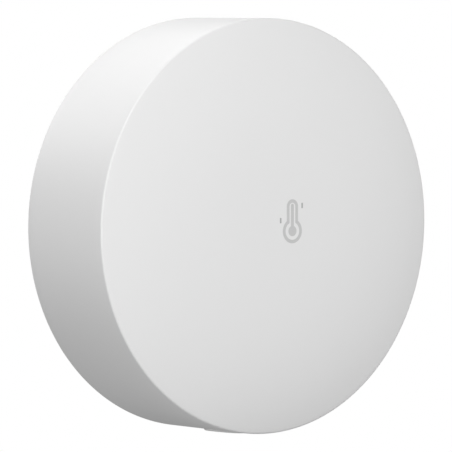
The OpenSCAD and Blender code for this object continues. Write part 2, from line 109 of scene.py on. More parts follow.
def angle(name, description, degrees):
    return FloatProperty(
        name=name, description=description, default=math.radians(degrees), subtype="ANGLE"
    )


def colour(name, description, default):
    return FloatVectorProperty(
        name=name, description=description, default=default, subtype="COLOR", size=3, min=0, max=1
    )


def count(name, description, default):
    return IntProperty(name=name, description=description, default=default, min=1)


def ratio(name, description, default):
    return FloatProperty(name=name, description=description, default=default, min=0)


class SensorShellSettings(bpy.types.PropertyGroup):
    back_radius: length("Back Radius", "Radius of the shell at its back edge", 18)
    back: depth("Back Plane", "the shell's back edge", -SHELL_HIGH.y / MM)
    front: depth("Front", "the crown's middle", -SHELL_LOW.y / MM)
    draft: angle("Draft", "Lean of the side wall", 2.25)
    crown: length("Crown", "Height of the crown above the rim", 1.4)
    crown_power: ratio("Crown Power", "How long the crown stays flat before it falls to the rim", 3)
    rim_fillet: length("Rim Fillet", "Rounding of the front rim", 0.2)
    back_fillet: length("Back Fillet", "Rounding of the back edge", 0.15)
    mouth_edge: length("Mouth Edge", "Rounding of the vents and the button's mouth", 0.07)
    wall: length("Wall", "Thickness of the shell", 1.3)
    groove: depth("Groove", "the snap groove", 3.65)
    groove_half: length("Groove Half", "Half the height of the snap groove", 0.7)
    groove_cut: length("Groove Cut", "Depth of the snap groove", 0.3)
    key_at: angle("Key Place", "Angle of the key that sets the rear cover's turn", 70)
    key_in: length("Key In", "Radius of the key's inner face", 15.7)
    key_width: length("Key Width", "Width of the key", 1.4)
    key_start: depth("Key Start", "the key's back end", 1.8)
    key_end: depth("Key End", "the key's front end", 5.6)
    segments: count("Segments", "Steps round the shell", 256)

    def rim(self):
        """Distance of the front rim from the mounting plane."""
        return self.front - self.crown

    def outer(self, depth):
        """Radius of the drafted wall at a distance from the mounting plane."""
        return self.back_radius - (depth - self.back) * math.tan(self.draft)

    def crown_at(self, radius):
        """Distance of the front face from the mounting plane over a radius."""
        fall = (radius / self.outer(self.rim())) ** self.crown_power
        return self.rim() + self.crown * (1 - fall)


class SensorButtonSettings(bpy.types.PropertyGroup):
    at: angle("Place", "Angle round the body, from the right seen from the front", 270)
    depth: depth("Depth", "the button's middle", -(BUTTON_LOW.y + BUTTON_HIGH.y) / 2 / MM)
    width: length("Width", "Width along the wall's curve", 7.75)
    height: length("Height", "Height along the body's depth", 4.2)
    proud: length("Proud", "How far the cap's middle stands out of the wall", 0.05)
    curve: length("Curve", "Radius of the cap's outer face, flatter than the wall", 24)
    gap: length("Gap", "Gap round the button", 0.15)
    edge: length("Edge", "Rounding of the button's edge", 0.17)
    inner: length("Inner", "Distance of the cap's flat inner face from the body's axis", 15.62)
    drop: length("Drop", "How far the cap's middle lies behind the switch's middle", 1)
    ear_in: length("Ear In", "Inner radius of the ears", 15.57)
    ear_out: length("Ear Out", "Outer radius of the ears", 16.27)
    ear_reach: length("Ear Reach", "How far the ears reach beyond the cap", 0.8)
    ear_height: length("Ear Height", "Height of the ears along the body's depth", 2)
    stem: length("Stem", "Diameter of the stem that meets the switch", 1.2)


class SensorVentSettings(bpy.types.PropertyGroup):
    number: count("Number", "Number of vent slots", 4)
    at: angle("Place", "Angle of the middle of the row", 300)
    pitch: angle("Pitch", "Angle between vent slots", 6)
    width: length("Width", "Width of a slot", 0.8)
    length: length("Length", "Length of a slot along the body's depth", 2.8)
    depth: depth("Depth", "the slots' middle", 7.9)


class SensorSignSettings(bpy.types.PropertyGroup):
    across: length("Across", "Place of the sign's axis to the right of the middle", 1.035)
    up: length("Up", "Place of the sign's middle above the middle of the front", 0.48)
    height: length("Height", "Height of the thermometer", 3.72)
    bulb: length("Bulb", "Outer radius of the bulb", 1.04)
    tube: length("Tube", "Outer half width of the tube", 0.61)
    stroke: length("Stroke", "Width of the outline", 0.29)
    dot: length("Dot", "Radius of the drop inside the bulb", 0.44)
    column: length("Column", "Half width of the column inside the tube", 0.165)
    column_top: length("Column Top", "Height of the column's round top above the sign's foot", 3.34)
    tick_width: length("Tick Width", "Width of a scale mark", 0.16)
    tick_height: length("Tick Height", "Height of a scale mark", 0.45)
    tick_left: length("Left Tick", "Distance of the left scale mark from the axis", 1.28)
    tick_left_up: length("Left Tick Up", "Height of the left scale mark above the foot", 1.95)
    tick_right: length("Right Tick", "Distance of the right scale mark from the axis", 1.07)
    tick_right_up: length("Right Tick Up", "Height of the right scale mark above the foot", 3.17)
    film: length("Film", "Thickness of the print", 0.012)
    sunk: length("Sunk", "How far the print reaches into the shell", 0.01)
    ink: colour("Ink", "Colour of the print", (0.58, 0.58, 0.58))
    tick_ink: colour("Tick Ink", "Colour of the two scale marks", (0.43, 0.43, 0.43))


class SensorDoorSettings(bpy.types.PropertyGroup):
    edge: length("Edge", "Rounding of the edges in the back plane of the door and the cover", 0.12)
    arrows: count("Arrows", "Number of raised arrows on the door", 2)
    arrow_radius: length("Arrow Radius", "Distance of the arrows from the door's middle", 9.4)
    arrow_width: length("Arrow Width", "Width of an arrow's shaft", 0.6)
    arrow_head: length("Arrow Head", "Length of an arrow's head", 2)
    arrow_sweep: angle("Arrow Sweep", "Turn that an arrow spans", 56)
    arrow_proud: length("Arrow Proud", "How far the arrows stand out of the door", 0.16)
    arrow_sunk: length("Arrow Sunk", "How far the arrows reach into the door", 0.05)
    arrow_edge: length("Arrow Edge", "Rounding of the arrows' raised edges", 0.05)


class SensorPadSettings(bpy.types.PropertyGroup):
    inner: length("Inner Radius", "Inner radius of the foam ring", 12.75)
    waist: length("Waist", "How far the cut edge draws in between the faces", 0.07)
    edge: length("Edge", "Rounding of the cut edges", 0.08)


class SensorCellSettings(bpy.types.PropertyGroup):
    can_wall: length("Can Wall", "Sheet thickness of the can", 0.3)
    edge: length("Edge", "Rounding of the can and the cap", 0.25)
    stamp: length("Stamp", "Depth of the stamped rings", 0.05)
    stamp_in: length("Stamp In", "Distance of a stamped ring from the edge", 1.2)
    seal_gap: length("Seal Gap", "Gap between the cap and the seal", 0.03)
    plus: length("Plus", "Length of the plus sign's bars", 3.2)
    plus_stroke: length("Plus Stroke", "Width of the plus sign's bars", 0.5)
    plus_cut: length("Plus Cut", "Depth of the plus sign", 0.12)
    plus_up: length("Plus Up", "Height of the plus sign above the middle", 4.6)


class SensorBoardSettings(bpy.types.PropertyGroup):
    edge: length("Edge", "Rounding of the board's edges", 0.04)
    track_edge: length("Track Edge", "Rounding of the antenna's edges", 0.02)
    hole: length("Hole", "Bore of a plated hole", 0.3)
    land: length("Land", "Width of the land round a plated hole", 0.14)
    plating: length("Plating", "Height of the land above the solder mask", 0.03)
    land_sunk: length("Land Sunk", "How far the land reaches into the board", 0.02)
    holes: count("Holes", "Number of plated holes along the edge", 40)
    holes_ring: length("Hole Ring", "Radius of the row of plated holes", 15.55)
    holes_middle: angle("Hole Middle", "Angle of the middle of the row", 98)
    holes_pitch: angle("Hole Pitch", "Angle between plated holes", 7)
    radio_side: length("Radio Side", "Side of the radio chip", 5)
    radio_leads: count("Radio Leads", "Leads on each side of the radio chip", 8)
    lead_long: length("Lead Length", "Length of a lead of the radio chip", 0.16)
    lead_tall: length("Lead Height", "Height of a lead of the radio chip", 0.22)
    lead_sunk: length("Lead Sunk", "How far a lead reaches into the board", 0.005)
    lead_edge: length("Lead Edge", "Chamfer of a lead's edges", 0.02)
    capacitors: count("Capacitors", "Number of capacitors", 4)
    capacitor_long: length("Capacitor Length", "Length of a capacitor", 1.6)
    capacitor_wide: length("Capacitor Width", "Width of a capacitor", 0.8)
    resistors: count("Resistors", "Number of resistors", 5)
    resistor_long: length("Resistor Length", "Length of a resistor", 1)
    resistor_wide: length("Resistor Width", "Width of a resistor", 0.5)
    tin: length("Tin", "Thickness of the tin on the ends of capacitors and resistors", 0.012)


class SensorScrewSettings(bpy.types.PropertyGroup):
    number: count("Number", "Number of board screws", 3)
    head: length("Head", "Diameter of the head", 2.8)
    shank: length("Shank", "Diameter of the shank", 1.4)
    neck: length("Neck", "Plain length between the head and the thread", 0.2)
    pitch: length("Pitch", "Pitch of the thread", 0.4)
    thread: length("Thread", "Depth of the thread", 0.12)
    cross: length("Cross", "Length of the cross recess", 1.7)
    cross_stroke: length("Cross Stroke", "Width of the cross recess", 0.36)
    cross_cut: length("Cross Cut", "Depth of the cross recess", 0.42)


class SensorFinishSettings(bpy.types.PropertyGroup):
    shell_white: colour("Shell White", "White of the shell and the button", (0.8, 0.8, 0.8))
    cover_white: colour("Cover White", "White of the rear cover and the door", (0.78, 0.78, 0.78))
    foam_grey: colour("Foam Grey", "Closed-cell foam of the adhesive ring", (0.62, 0.62, 0.63))
    grain: length("Grain", "Depth of the shell's fine moulded grain", 0.0015)


class SensorStageSettings(bpy.types.PropertyGroup):
    azimuth: angle("Azimuth", "Camera's place round the sensor", -37.89)
    elevation: angle("Elevation", "Camera's height above the horizon", 2.78)
    distance: length("Distance", "Camera's distance from the front rim's middle", 186)
    shift_right: length("Shift Right", "How far the camera stands to the right of that line", -3.93)
    shift_up: length("Shift Up", "How far the camera stands above that line", 0.058)
    lens: FloatProperty(
        name="Lens", description="Focal length of the camera", default=174.92, min=1, unit="CAMERA"
    )
    light_distance: length("Light Distance", "Distance of every studio light from the sensor", 500)
    light_size: length("Light Size", "Diameter of every studio light", 220)
    light_gain: ratio("Light Gain", "Strength of all the studio lights together", 1)
    fill: ratio("Fill", "Strength of the even light from all round", 0.105)
    floor_radius: length("Floor Radius", "Radius of the table", 400)
    floor_gap: length("Floor Gap", "Gap between the table and the lowest point of the solids", 0.02)
    floor_glow: ratio("Floor Glow", "Light from the table beside and behind the sensor", 0.35)
    floor_front: ratio("Floor Front", "Light from the table before the sensor's front", 0.615)
    floor_turn: depth("Floor Turn", "the place where the one turns into the other", 16)
    floor_blend: length("Floor Blend", "Length over which the one turns into the other", 24)


# Azimuth and elevation in degrees, seen from the sensor, and power in watts.
LIGHTS = {
    "key_high": (-30, 45, 1.55),
    "side_low": (-60, 8, 0.79),
    "front_right_low": (30, 8, 0.12),
    "right_low": (60, 8, 0.18),
    "back_left": (-165, 25, 0.36),
    "back_high": (180, 45, 0.289),
    "back_right_high": (150, 45, 0.34),
    "back_low": (150, 6, 0.17),
    "top_back": (180, 72, 0.3),
}


def settings(*names):
    """One group of settings, or several in order."""
    found = [getattr(bpy.context.scene, "sensor_" + name) for name in names]
    return found if len(found) > 1 else found[0]


class Link:
    """An output socket on which Python's operators add Math nodes."""

    def __init__(self, graph, socket):
        self.graph = graph
        self.socket = socket

    def __add__(self, other):
        return self.graph.math("ADD", self, other)

    def __sub__(self, other):
        return self.graph.math("SUBTRACT", self, other)

    def __rsub__(self, other):
        return self.graph.math("SUBTRACT", other, self)

    def __mul__(self, other):
        return self.graph.math("MULTIPLY", self, other)

    def __truediv__(self, other):
        return self.graph.math("DIVIDE", self, other)

    def __rtruediv__(self, other):
        return self.graph.math("DIVIDE", other, self)

    def __neg__(self):
        return self.graph.math("MULTIPLY", self, -1.0)

    __radd__ = __add__
    __rmul__ = __mul__


class Graph:
    """A node tree that is being built."""

    def __init__(self, tree):
        self.tree = tree
        tree.nodes.clear()

    def add(self, kind, setup=None, inputs=None, out=0):
        """Adds a node of any type: its settings first, then its sockets' values or links."""
        node = self.tree.nodes.new(kind)
        for name, value in (setup or {}).items():
            setattr(node, name, value)
        for key, value in (inputs or {}).items():
            for one in value if isinstance(value, list) else [value]:
                if isinstance(one, Link):
                    self.tree.links.new(one.socket, node.inputs[key])
                else:
                    node.inputs[key].default_value = one
        return Link(self, node.outputs[out])

    def end(self, kind, link):
        """Ends a shader tree in an output node."""
        self.tree.links.new(link.socket, self.tree.nodes.new(kind).inputs["Surface"])

    def math(self, operation, *values):
        return self.add("ShaderNodeMath", {"operation": operation}, dict(enumerate(values)))

    def vector(self, x, y, z):
        return self.add("ShaderNodeCombineXYZ", inputs={0: x, 1: y, 2: z})

    def axis(self, vector, name):
        return self.add("ShaderNodeSeparateXYZ", inputs={0: vector}, out=name)


class Builder(Graph):
    """A geometry tree with named inputs, each of the kind of the value that it is given."""

    KINDS = {
        bpy.types.Mesh: "NodeSocketGeometry",
        float: "NodeSocketFloat",
        int: "NodeSocketInt",
        bpy.types.Material: "NodeSocketMaterial",
    }

    def __init__(self, name, **inputs):
        super().__init__(bpy.data.node_groups.new(name, "GeometryNodeTree"))
        self.values = inputs
        sockets = self.tree.interface
        for label, value in inputs.items():
            kind = next(kind for sort, kind in self.KINDS.items() if isinstance(value, sort))
            sockets.new_socket(label, in_out="INPUT", socket_type=kind)
        sockets.new_socket("Geometry", in_out="OUTPUT", socket_type="NodeSocketGeometry")
        self.entry = self.tree.nodes.new("NodeGroupInput")

    def __getitem__(self, label):
        return Link(self, self.entry.outputs[label])

    def mesh(self, name, geometry):
        """Ends the tree in real instances that carry the Finish; the result is a plain mesh."""
        inputs = {"Geometry": self.real(geometry), "Material": self["Finish"]}
        dressed = self.add("GeometryNodeSetMaterial", inputs=inputs)
        end = self.tree.nodes.new("NodeGroupOutput")
        self.tree.links.new(dressed.socket, end.inputs["Geometry"])
        bases = [value for value in self.values.values() if isinstance(value, bpy.types.Mesh)]
        holder = placed(name, bases[0] if bases else bpy.data.meshes.new(name))
        modifier = holder.modifiers.new("Build", "NODES")
        modifier.node_group = self.tree
        for item in self.tree.interface.items_tree:
            if item.in_out == "INPUT" and item.socket_type != "NodeSocketGeometry":
                modifier[item.identifier] = self.values[item.name]
        made = evaluated(holder)
        made.name = name
        return made

    def real(self, geometry):
        return self.add("GeometryNodeRealizeInstances", inputs={"Geometry": geometry})

    def join(self, *parts):
        return self.add("GeometryNodeJoinGeometry", inputs={"Geometry": list(parts)})

    def merged(self, geometry):
        inputs = {"Geometry": geometry, "Distance": MERGE}
        return self.add("GeometryNodeMergeByDistance", inputs=inputs)

    def moved(self, geometry, x=0.0, y=0.0, z=0.0, turn=(0, 0, 0)):
        inputs = {"Geometry": geometry, "Translation": self.vector(x, y, z), "Rotation": turn}
        return self.add("GeometryNodeTransform", inputs=inputs)

    def block(self, x, y, z):
        return self.add("GeometryNodeMeshCube", inputs={"Size": self.vector(x, y, z)})

    def boolean(self, operation, inputs):
        setup = {"operation": operation, "solver": "EXACT"}
        return self.add("GeometryNodeMeshBoolean", setup, inputs)

    def union(self, *solids, crossing=False):
        """One body of several, or of one whose own parts cross."""
        return self.boolean("UNION", {"Mesh 2": list(solids), "Self Intersection": crossing})

    def minus(self, body, *cutters):
        return self.boolean("DIFFERENCE", {"Mesh 1": body, "Mesh 2": list(cutters)})

    def thick(self, face, offset, height):
        """Closed solid between a face and its copy at a height along an offset."""
        inputs = {"Mesh": face, "Offset": offset, "Offset Scale": height, "Individual": False}
        sides = self.add("GeometryNodeExtrudeMesh", {"mode": "FACES"}, inputs)
        under = self.add("GeometryNodeFlipFaces", inputs={"Mesh": face})
        return self.merged(self.join(sides, under))

    def turned(self):
        """Turns the Section, points with x as radius and z as depth, round the axis in Steps."""
        section, number = self["Section"], self["Steps"]
        columns = number + 1
        rows = self.add(
            "GeometryNodeAttributeDomainSize", {"component": "MESH"}, {0: section}, "Point Count"
        )
        grid = self.add("GeometryNodeMeshGrid", inputs={"Vertices X": rows, "Vertices Y": columns})
        index = self.add("GeometryNodeInputIndex")
        row = self.math("FLOOR", (index + 0.5) / columns)
        point = self.add(
            "GeometryNodeSampleIndex",
            {"data_type": "FLOAT_VECTOR", "domain": "POINT"},
            {"Geometry": section, "Value": self.add("GeometryNodeInputPosition"), "Index": row},
        )
        sweep = (index - row * columns) / number * TURN
        radius = self.axis(point, "X")
        across, up = (radius * self.math(kind, sweep) for kind in ("COSINE", "SINE"))
        place = self.vector(across, -self.axis(point, "Z"), up)
        inputs = {"Geometry": grid, "Position": place}
        return self.merged(self.add("GeometryNodeSetPosition", inputs=inputs))

    def pill(self, along, across, depth):
        """Slot with round ends that runs along +X, from the radius Inside to the radius Outside."""
        least = self.math("MINIMUM", along, across)
        box = self.add(
            "GeometryNodeCurvePrimitiveQuadrilateral", inputs={"Width": along, "Height": across}
        )
        outline = self.add(
            "GeometryNodeFilletCurve",
            {"mode": "POLY"},
            {"Curve": box, "Count": CUT_STEPS, "Radius": least * CUT_ROUND, "Limit Radius": False},
        )
        face = self.add("GeometryNodeFillCurve", {"mode": "NGONS"}, {"Curve": outline})
        solid = self.thick(face, (0, 0, 1), self["Outside"] - self["Inside"])
        return self.moved(solid, self["Inside"], -depth, 0.0, (TURN / 4, 0, TURN / 4))

    def cross(self, depth, up=0.0):
        """Two crossed bars at a depth, Long by Stroke, with Cut as half their height."""
        sides = (("Long", "Stroke"), ("Stroke", "Long"))
        bars = [self.block(self[one], self["Cut"] * 2, self[two]) for one, two in sides]
        return [self.moved(bar, 0.0, -depth, up) for bar in bars]

    def copies(self, points, shape, turn=(0, 0, 0)):
        inputs = {"Points": points, "Instance": shape, "Rotation": turn}
        return self.add("GeometryNodeInstanceOnPoints", inputs=inputs)

    def row_round(self, shape, number, middle, pitch):
        """Repeats a shape that lies along +X at equal angles round the body's axis."""
        points = self.add("GeometryNodePoints", inputs={"Count": number})
        index = self.add("GeometryNodeInputIndex")
        sweep = middle + (index - (number - 1) * 0.5) * pitch
        return self.copies(points, shape, self.vector(0.0, -sweep, 0.0))

    def row_up(self, x, z):
        """Points of an upward row that starts at a place, by the inputs Number and Pitch."""
        return self.add(
            "GeometryNodeMeshLine",
            {"mode": "OFFSET"},
            {
                "Count": self["Number"],
                "Start Location": self.vector(x, 0.0, z),
                "Offset": self.vector(0.0, 0.0, self["Pitch"]),
            },
        )


def shade(tint, factor):
    """Colour of a tint made darker or lighter by a factor."""
    return (*(min(1, c * factor) for c in tint), 1)


class Finish(Graph):
    """A material; numbers that are the same all over are set on the shader's own sockets."""

    def __init__(self, name, **constants):
        self.material = bpy.data.materials.new(name)
        self.material.use_nodes = True
        super().__init__(self.material.node_tree)
        self.shader = self.tree.nodes.new("ShaderNodeBsdfPrincipled")
        self.end("ShaderNodeOutputMaterial", Link(self, self.shader.outputs[0]))
        for socket, value in constants.items():
            self.shader.inputs[socket.replace("_", " ")].default_value = value
        self.place = self.add("ShaderNodeTexCoord", out="Object")

    def feed(self, socket, link):
        self.tree.links.new(link.socket, self.shader.inputs[socket])

    def stretched(self, x, y, z):
        """Object coordinates in millimetres, scaled along each axis."""
        inputs = {"Vector": self.place, "Scale": (x / MM, y / MM, z / MM)}
        return self.add("ShaderNodeMapping", {"vector_type": "POINT"}, inputs)

    def noise(self, size, detail=2.0, where=None):
        """Noise with features about that many millimetres across, or units of another place."""
        scale = 1 / size if where else 1 / (size * MM)
        inputs = {"Vector": where or self.place, "Scale": scale, "Detail": detail}
        return self.add("ShaderNodeTexNoise", {"noise_dimensions": "3D"}, inputs)

    def cells(self, size):
        """Rounded cells that are about that many millimetres across."""
        inputs = {"Vector": self.place, "Scale": 1 / (size * MM)}
        return self.add("ShaderNodeTexVoronoi", {"feature": "F1"}, inputs)

    def blend(self, factor, one, two):
        """Colour between two colours."""
        return self.add("ShaderNodeMix", {"data_type": "RGBA"}, {0: factor, 6: one, 7: two}, out=2)

    def tone(self, factor, tint, spread):
        """The tint, a little darker and lighter as the factor goes from 0 to 1."""
        dark, light = shade(tint, 1 - spread), shade(tint, 1 + spread)
        self.feed("Base Color", self.blend(factor, dark, light))

    def relief(self, height, depth, strength=1.0, under=None):
        """Bump of a height field that is that many metres deep, over another one if given."""
        inputs = {"Height": height, "Distance": depth, "Strength": strength}
        if under:
            inputs["Normal"] = under
        return self.add("ShaderNodeBump", inputs=inputs)


def placed(name, data):
    """New object in the scene."""
    made = bpy.data.objects.new(name, data)
    bpy.context.scene.collection.objects.link(made)
    return made


def evaluated(holder):
    """Plain mesh of an object with its modifiers; the object is removed."""
    graph = bpy.context.evaluated_depsgraph_get()
    made = bpy.data.meshes.new_from_object(holder.evaluated_get(graph))
    bpy.data.objects.remove(holder)
    return made


def smooth(mesh, degrees=30):
    """Smooth shading, broken at edges sharper than an angle."""
    mesh.shade_smooth()
    mesh.set_sharp_from_angle(angle=math.radians(degrees))
    return mesh


def weighted(mesh):
    """Copy of a mesh whose shading follows its large faces."""
    holder = placed(mesh.name, mesh)
    holder.modifiers.new("Shading", "WEIGHTED_NORMAL").keep_sharp = True
    return evaluated(holder)


def piece(name, mesh, body, slot, material, *replaced):
    """Puts a finished mesh in the scene, on its body, in place of CAD nodes."""
    thing = placed(name, mesh)
    mesh.materials.clear()
    mesh.materials.append(material)
    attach(thing, body)
    if replaced:
        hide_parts(*replaced)
    return thing


def steps(start, end, number):
    """Evenly spaced values from a start to an end."""
    return [start + (end - start) * i / number for i in range(number + 1)]


def arc(x, y, radius, start, end, number):
    """Points of an arc round a middle, in steps."""
    return [(x + radius * math.cos(t), y + radius * math.sin(t)) for t in steps(start, end, number)]


def outline_mesh(name, points):
    """Run of points joined by edges, with x as radius and z as depth."""
    mesh = bpy.data.meshes.new(name)
    edges = [(i, i + 1) for i in range(len(points) - 1)]
    mesh.from_pydata([(r, 0, z) for r, z in points], edges, [])
    return mesh


def rounded(corners, closed=False, parts=4):
    """Outline through corners of (x, y, radius), each rounded by its radius."""
    found = []
    number = len(corners)
    for i, (x, y, radius) in enumerate(corners):
        here = Vector((x, y))
        if radius == 0 or (not closed and i in (0, number - 1)):
            found.append((x, y))
            continue
        before = (Vector(corners[i - 1][:2]) - here).normalized()
        after = (Vector(corners[(i + 1) % number][:2]) - here).normalized()
        half = before.angle(after) / 2
        centre = here + (before + after).normalized() * radius / math.sin(half)
        start = here + before * radius / math.tan(half) - centre
        end = here + after * radius / math.tan(half) - centre
        for turn in steps(0, -start.angle_signed(end), parts):
            found.append((
                centre.x + start.x * math.cos(turn) - start.y * math.sin(turn),
                centre.y + start.x * math.sin(turn) + start.y * math.cos(turn),
            ))
    return found + found[:1] if closed else found


def ring_section(inner, outer, low, high, lip, parts=4):
    """Half section of a plain ring whose front edges are rounded."""
    corners = [(inner, high, lip), (outer, high, lip), (outer, low, 0), (inner, low, 0)]
    return rounded(corners, closed=True, parts=parts)


def fillet(corner, first, second, radius):
    """Points of a fillet between two faces whose outward normals lie at two angles."""
    reach = radius / (1 + math.cos(first - second))
    x = corner[0] - reach * (math.cos(first) + math.cos(second))
    y = corner[1] - reach * (math.sin(first) + math.sin(second))
    return arc(x, y, radius, first, second, FILLET_STEPS)


def turned_piece(name, points, slot, material, node, number=STEPS_ROUND):
    """Body of revolution from a half section that runs clockwise, with the depth upwards."""
    section = outline_mesh(name + "_section", points)
    tree = Builder("Turned Body", Section=section, Steps=number, Finish=material)
    mesh = tree.mesh(name, tree.turned())
    return piece(name, smooth(mesh), "housing", slot, material, node)


def pill_loop(width, height, inset):
    """Loop of points round a slot outline with round ends, drawn in by an inset."""
    half, radius = (width - height) / 2, height / 2 - inset
    points = []
    for side in (1, -1):
        first = -side * TURN / 4
        points += arc(side * half, 0, radius, first, first + TURN / 2, PILL_ENDS)
        points += [(u, side * radius) for u in steps(side * half, -side * half, PILL_SIDES)[1:-1]]
    return points


def bridge(bm, one, two):
    """Quads between two loops of vertices."""
    number = len(one)
    for i in range(number):
        bm.faces.new((one[i], one[(i + 1) % number], two[(i + 1) % number], two[i]))


def closed_run(bm, loops):
    """Closed body through a run of loops."""
    for one, two in zip(loops, loops[1:]):
        bridge(bm, one, two)
    bm.faces.new(list(reversed(loops[0])))
    bm.faces.new(loops[-1])


def mesh_of(bm, name):
    """Mesh of a finished build."""
    mesh = bpy.data.meshes.new(name)
    bm.to_mesh(mesh)
    bm.free()
    return mesh


def outward_mesh(bm, name):
    """Mesh of a finished build, with its faces turned outwards."""
    bmesh.ops.recalc_face_normals(bm, faces=bm.faces)
    return mesh_of(bm, name)


def is_sharp(edge):
    return edge.is_manifold and edge.calc_face_angle() > math.radians(SHARP)


def round_edges(bm, edges, width, segments=2, clamp=True):
    bmesh.ops.bevel(
        bm,
        geom=edges,
        offset=width,
        offset_type="OFFSET",
        segments=segments,
        profile=0.5,
        affect="EDGES",
        clamp_overlap=clamp,
    )


def round_mesh(mesh, width, chosen, segments=2):
    """Rounds the edges of a mesh that a test chooses."""
    bm = bmesh.new()
    bm.from_mesh(mesh)
    round_edges(bm, [e for e in bm.edges if chosen(e)], width, segments)
    bm.to_mesh(mesh)
    bm.free()


def softened(node, width, depth=None):
    """Copy of a CAD node's mesh with its doubles merged and its sharp edges rounded.

    With a depth, only edges in the plane at that distance from the mounting plane are rounded.
    """

    def chosen(part):
        return depth is None or all(abs(-v.co.y - depth) < CAD_MERGE for v in part.verts)

    bm = bmesh.new()
    bm.from_mesh(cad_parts[node].data)
    bmesh.ops.remove_doubles(bm, verts=bm.verts, dist=CAD_MERGE)
    flat = [e for e in bm.edges if all(chosen(f) for f in e.link_faces)]
    bmesh.ops.dissolve_limit(
        bm, angle_limit=math.radians(0.6), verts=bm.verts if depth is None else [], edges=flat
    )
    round_edges(bm, [e for e in bm.edges if chosen(e) and is_sharp(e)], width, clamp=False)
    mesh = mesh_of(bm, node + "_soft")
    # The CAD mesh's own normals no longer fit.
    mesh.attributes.remove(mesh.attributes["custom_normal"])
    return weighted(smooth(mesh))


def dress(rows, suffix):
    """Rounded copies of CAD nodes: rows of node, body, slot, rounding in millimetres and finish."""
    for node, body, slot, width, finish, *recipe in rows:
        piece(node + suffix, softened(node, width * MM), body, slot, finish(*recipe), node)


def satin_white(name, tint, grain):
    """Fine moulded white with a faint grain."""
    made = Finish(name, Specular_IOR_Level=0.5)
    made.tone(made.noise(6.0, 3), tint, 0.006)
    made.feed("Roughness", made.noise(0.8, 3) * 0.08 + 0.4)
    peel = made.relief(made.noise(1.6, 2), grain * 1.2)
    made.feed("Normal", made.relief(made.noise(0.16, 2), grain, 0.6, peel))
    return made.material


def spark_white(name, tint):
    """White moulded in a spark-eroded tool, with a coarser grain."""
    made = Finish(name)
    grain = made.noise(0.2, 3)
    made.tone(made.noise(4.0, 3), tint, 0.01)
    made.feed("Roughness", grain * 0.12 + 0.5)
    made.feed("Normal", made.relief(grain, 0.006 * MM, 0.8))
    return made.material


def foam(name, tint, thick):
    """Closed-cell foam between two smooth adhesive films."""
    made = Finish(name)
    cell = made.cells(0.22)
    depth = -made.axis(made.place, "Y")
    middle = made.math("ABSOLUTE", depth / thick - 0.5) * 2
    film = made.math("SMOOTH_MIN", made.math("MAXIMUM", (middle - 0.86) * 12, 0.0), 1.0, 0.2)
    open_cell = made.blend(cell, shade(tint, 0.8), shade(tint, 1.12))
    skin = made.blend(made.noise(1.4, 3), shade(tint, 0.97), shade(tint, 1.06))
    made.feed("Base Color", made.blend(film, open_cell, skin))
    made.feed("Roughness", 0.86 - film * 0.32 + made.noise(0.5) * 0.08)
    made.feed("Normal", made.relief(cell * (1 - film * 0.85), 0.03 * MM, 0.9))
    return made.material


def print_ink(name, tint):
    """Thin matt print."""
    made = Finish(name)
    made.tone(made.noise(0.09, 2), tint, 0.05)
    made.feed("Roughness", made.noise(0.2) * 0.1 + 0.55)
    return made.material


LINES_ACROSS = (18.0, 0.4, 0.4)
LINES_UP = (0.4, 0.4, 18.0)


def brushed_metal(name, tint, rough, along=LINES_UP):
    """Sheet metal with fine drawn lines."""
    made = Finish(name, Metallic=1.0)
    lines = made.noise(1.0, 4, made.stretched(*along))
    made.tone(made.noise(2.0, 3), tint, 0.06)
    made.feed("Roughness", lines * 0.16 + rough)
    made.feed("Normal", made.relief(lines, 0.002 * MM, 0.5))
    return made.material


def laminate(name, tint):
    """Solder mask over woven glass."""
    made = Finish(name, Coat_Roughness=0.15)
    across = made.math("SINE", made.axis(made.place, "X") * (TURN / (0.45 * MM)))
    upward = made.math("SINE", made.axis(made.place, "Z") * (TURN / (0.5 * MM)))
    weave = across * upward * 0.5 + 0.5
    made.tone(weave * 0.5 + made.noise(3.0, 3) * 0.5, tint, 0.22)
    made.feed("Roughness", made.noise(0.6) * 0.12 + 0.24)
    made.feed("Coat Weight", made.noise(2.0) * 0.3 + 0.3)
    made.feed("Normal", made.relief(weave, 0.003 * MM, 0.5))
    return made.material


def moulded_resin(name, tint, rough=0.5, grain=0.12):
    """Filled resin with fine specks."""
    made = Finish(name)
    speck = made.noise(grain, 3)
    made.tone(speck, tint, 0.2)
    made.feed("Roughness", speck * 0.15 + rough)
    made.feed("Normal", made.relief(speck, 0.003 * MM, 0.6))
    return made.material


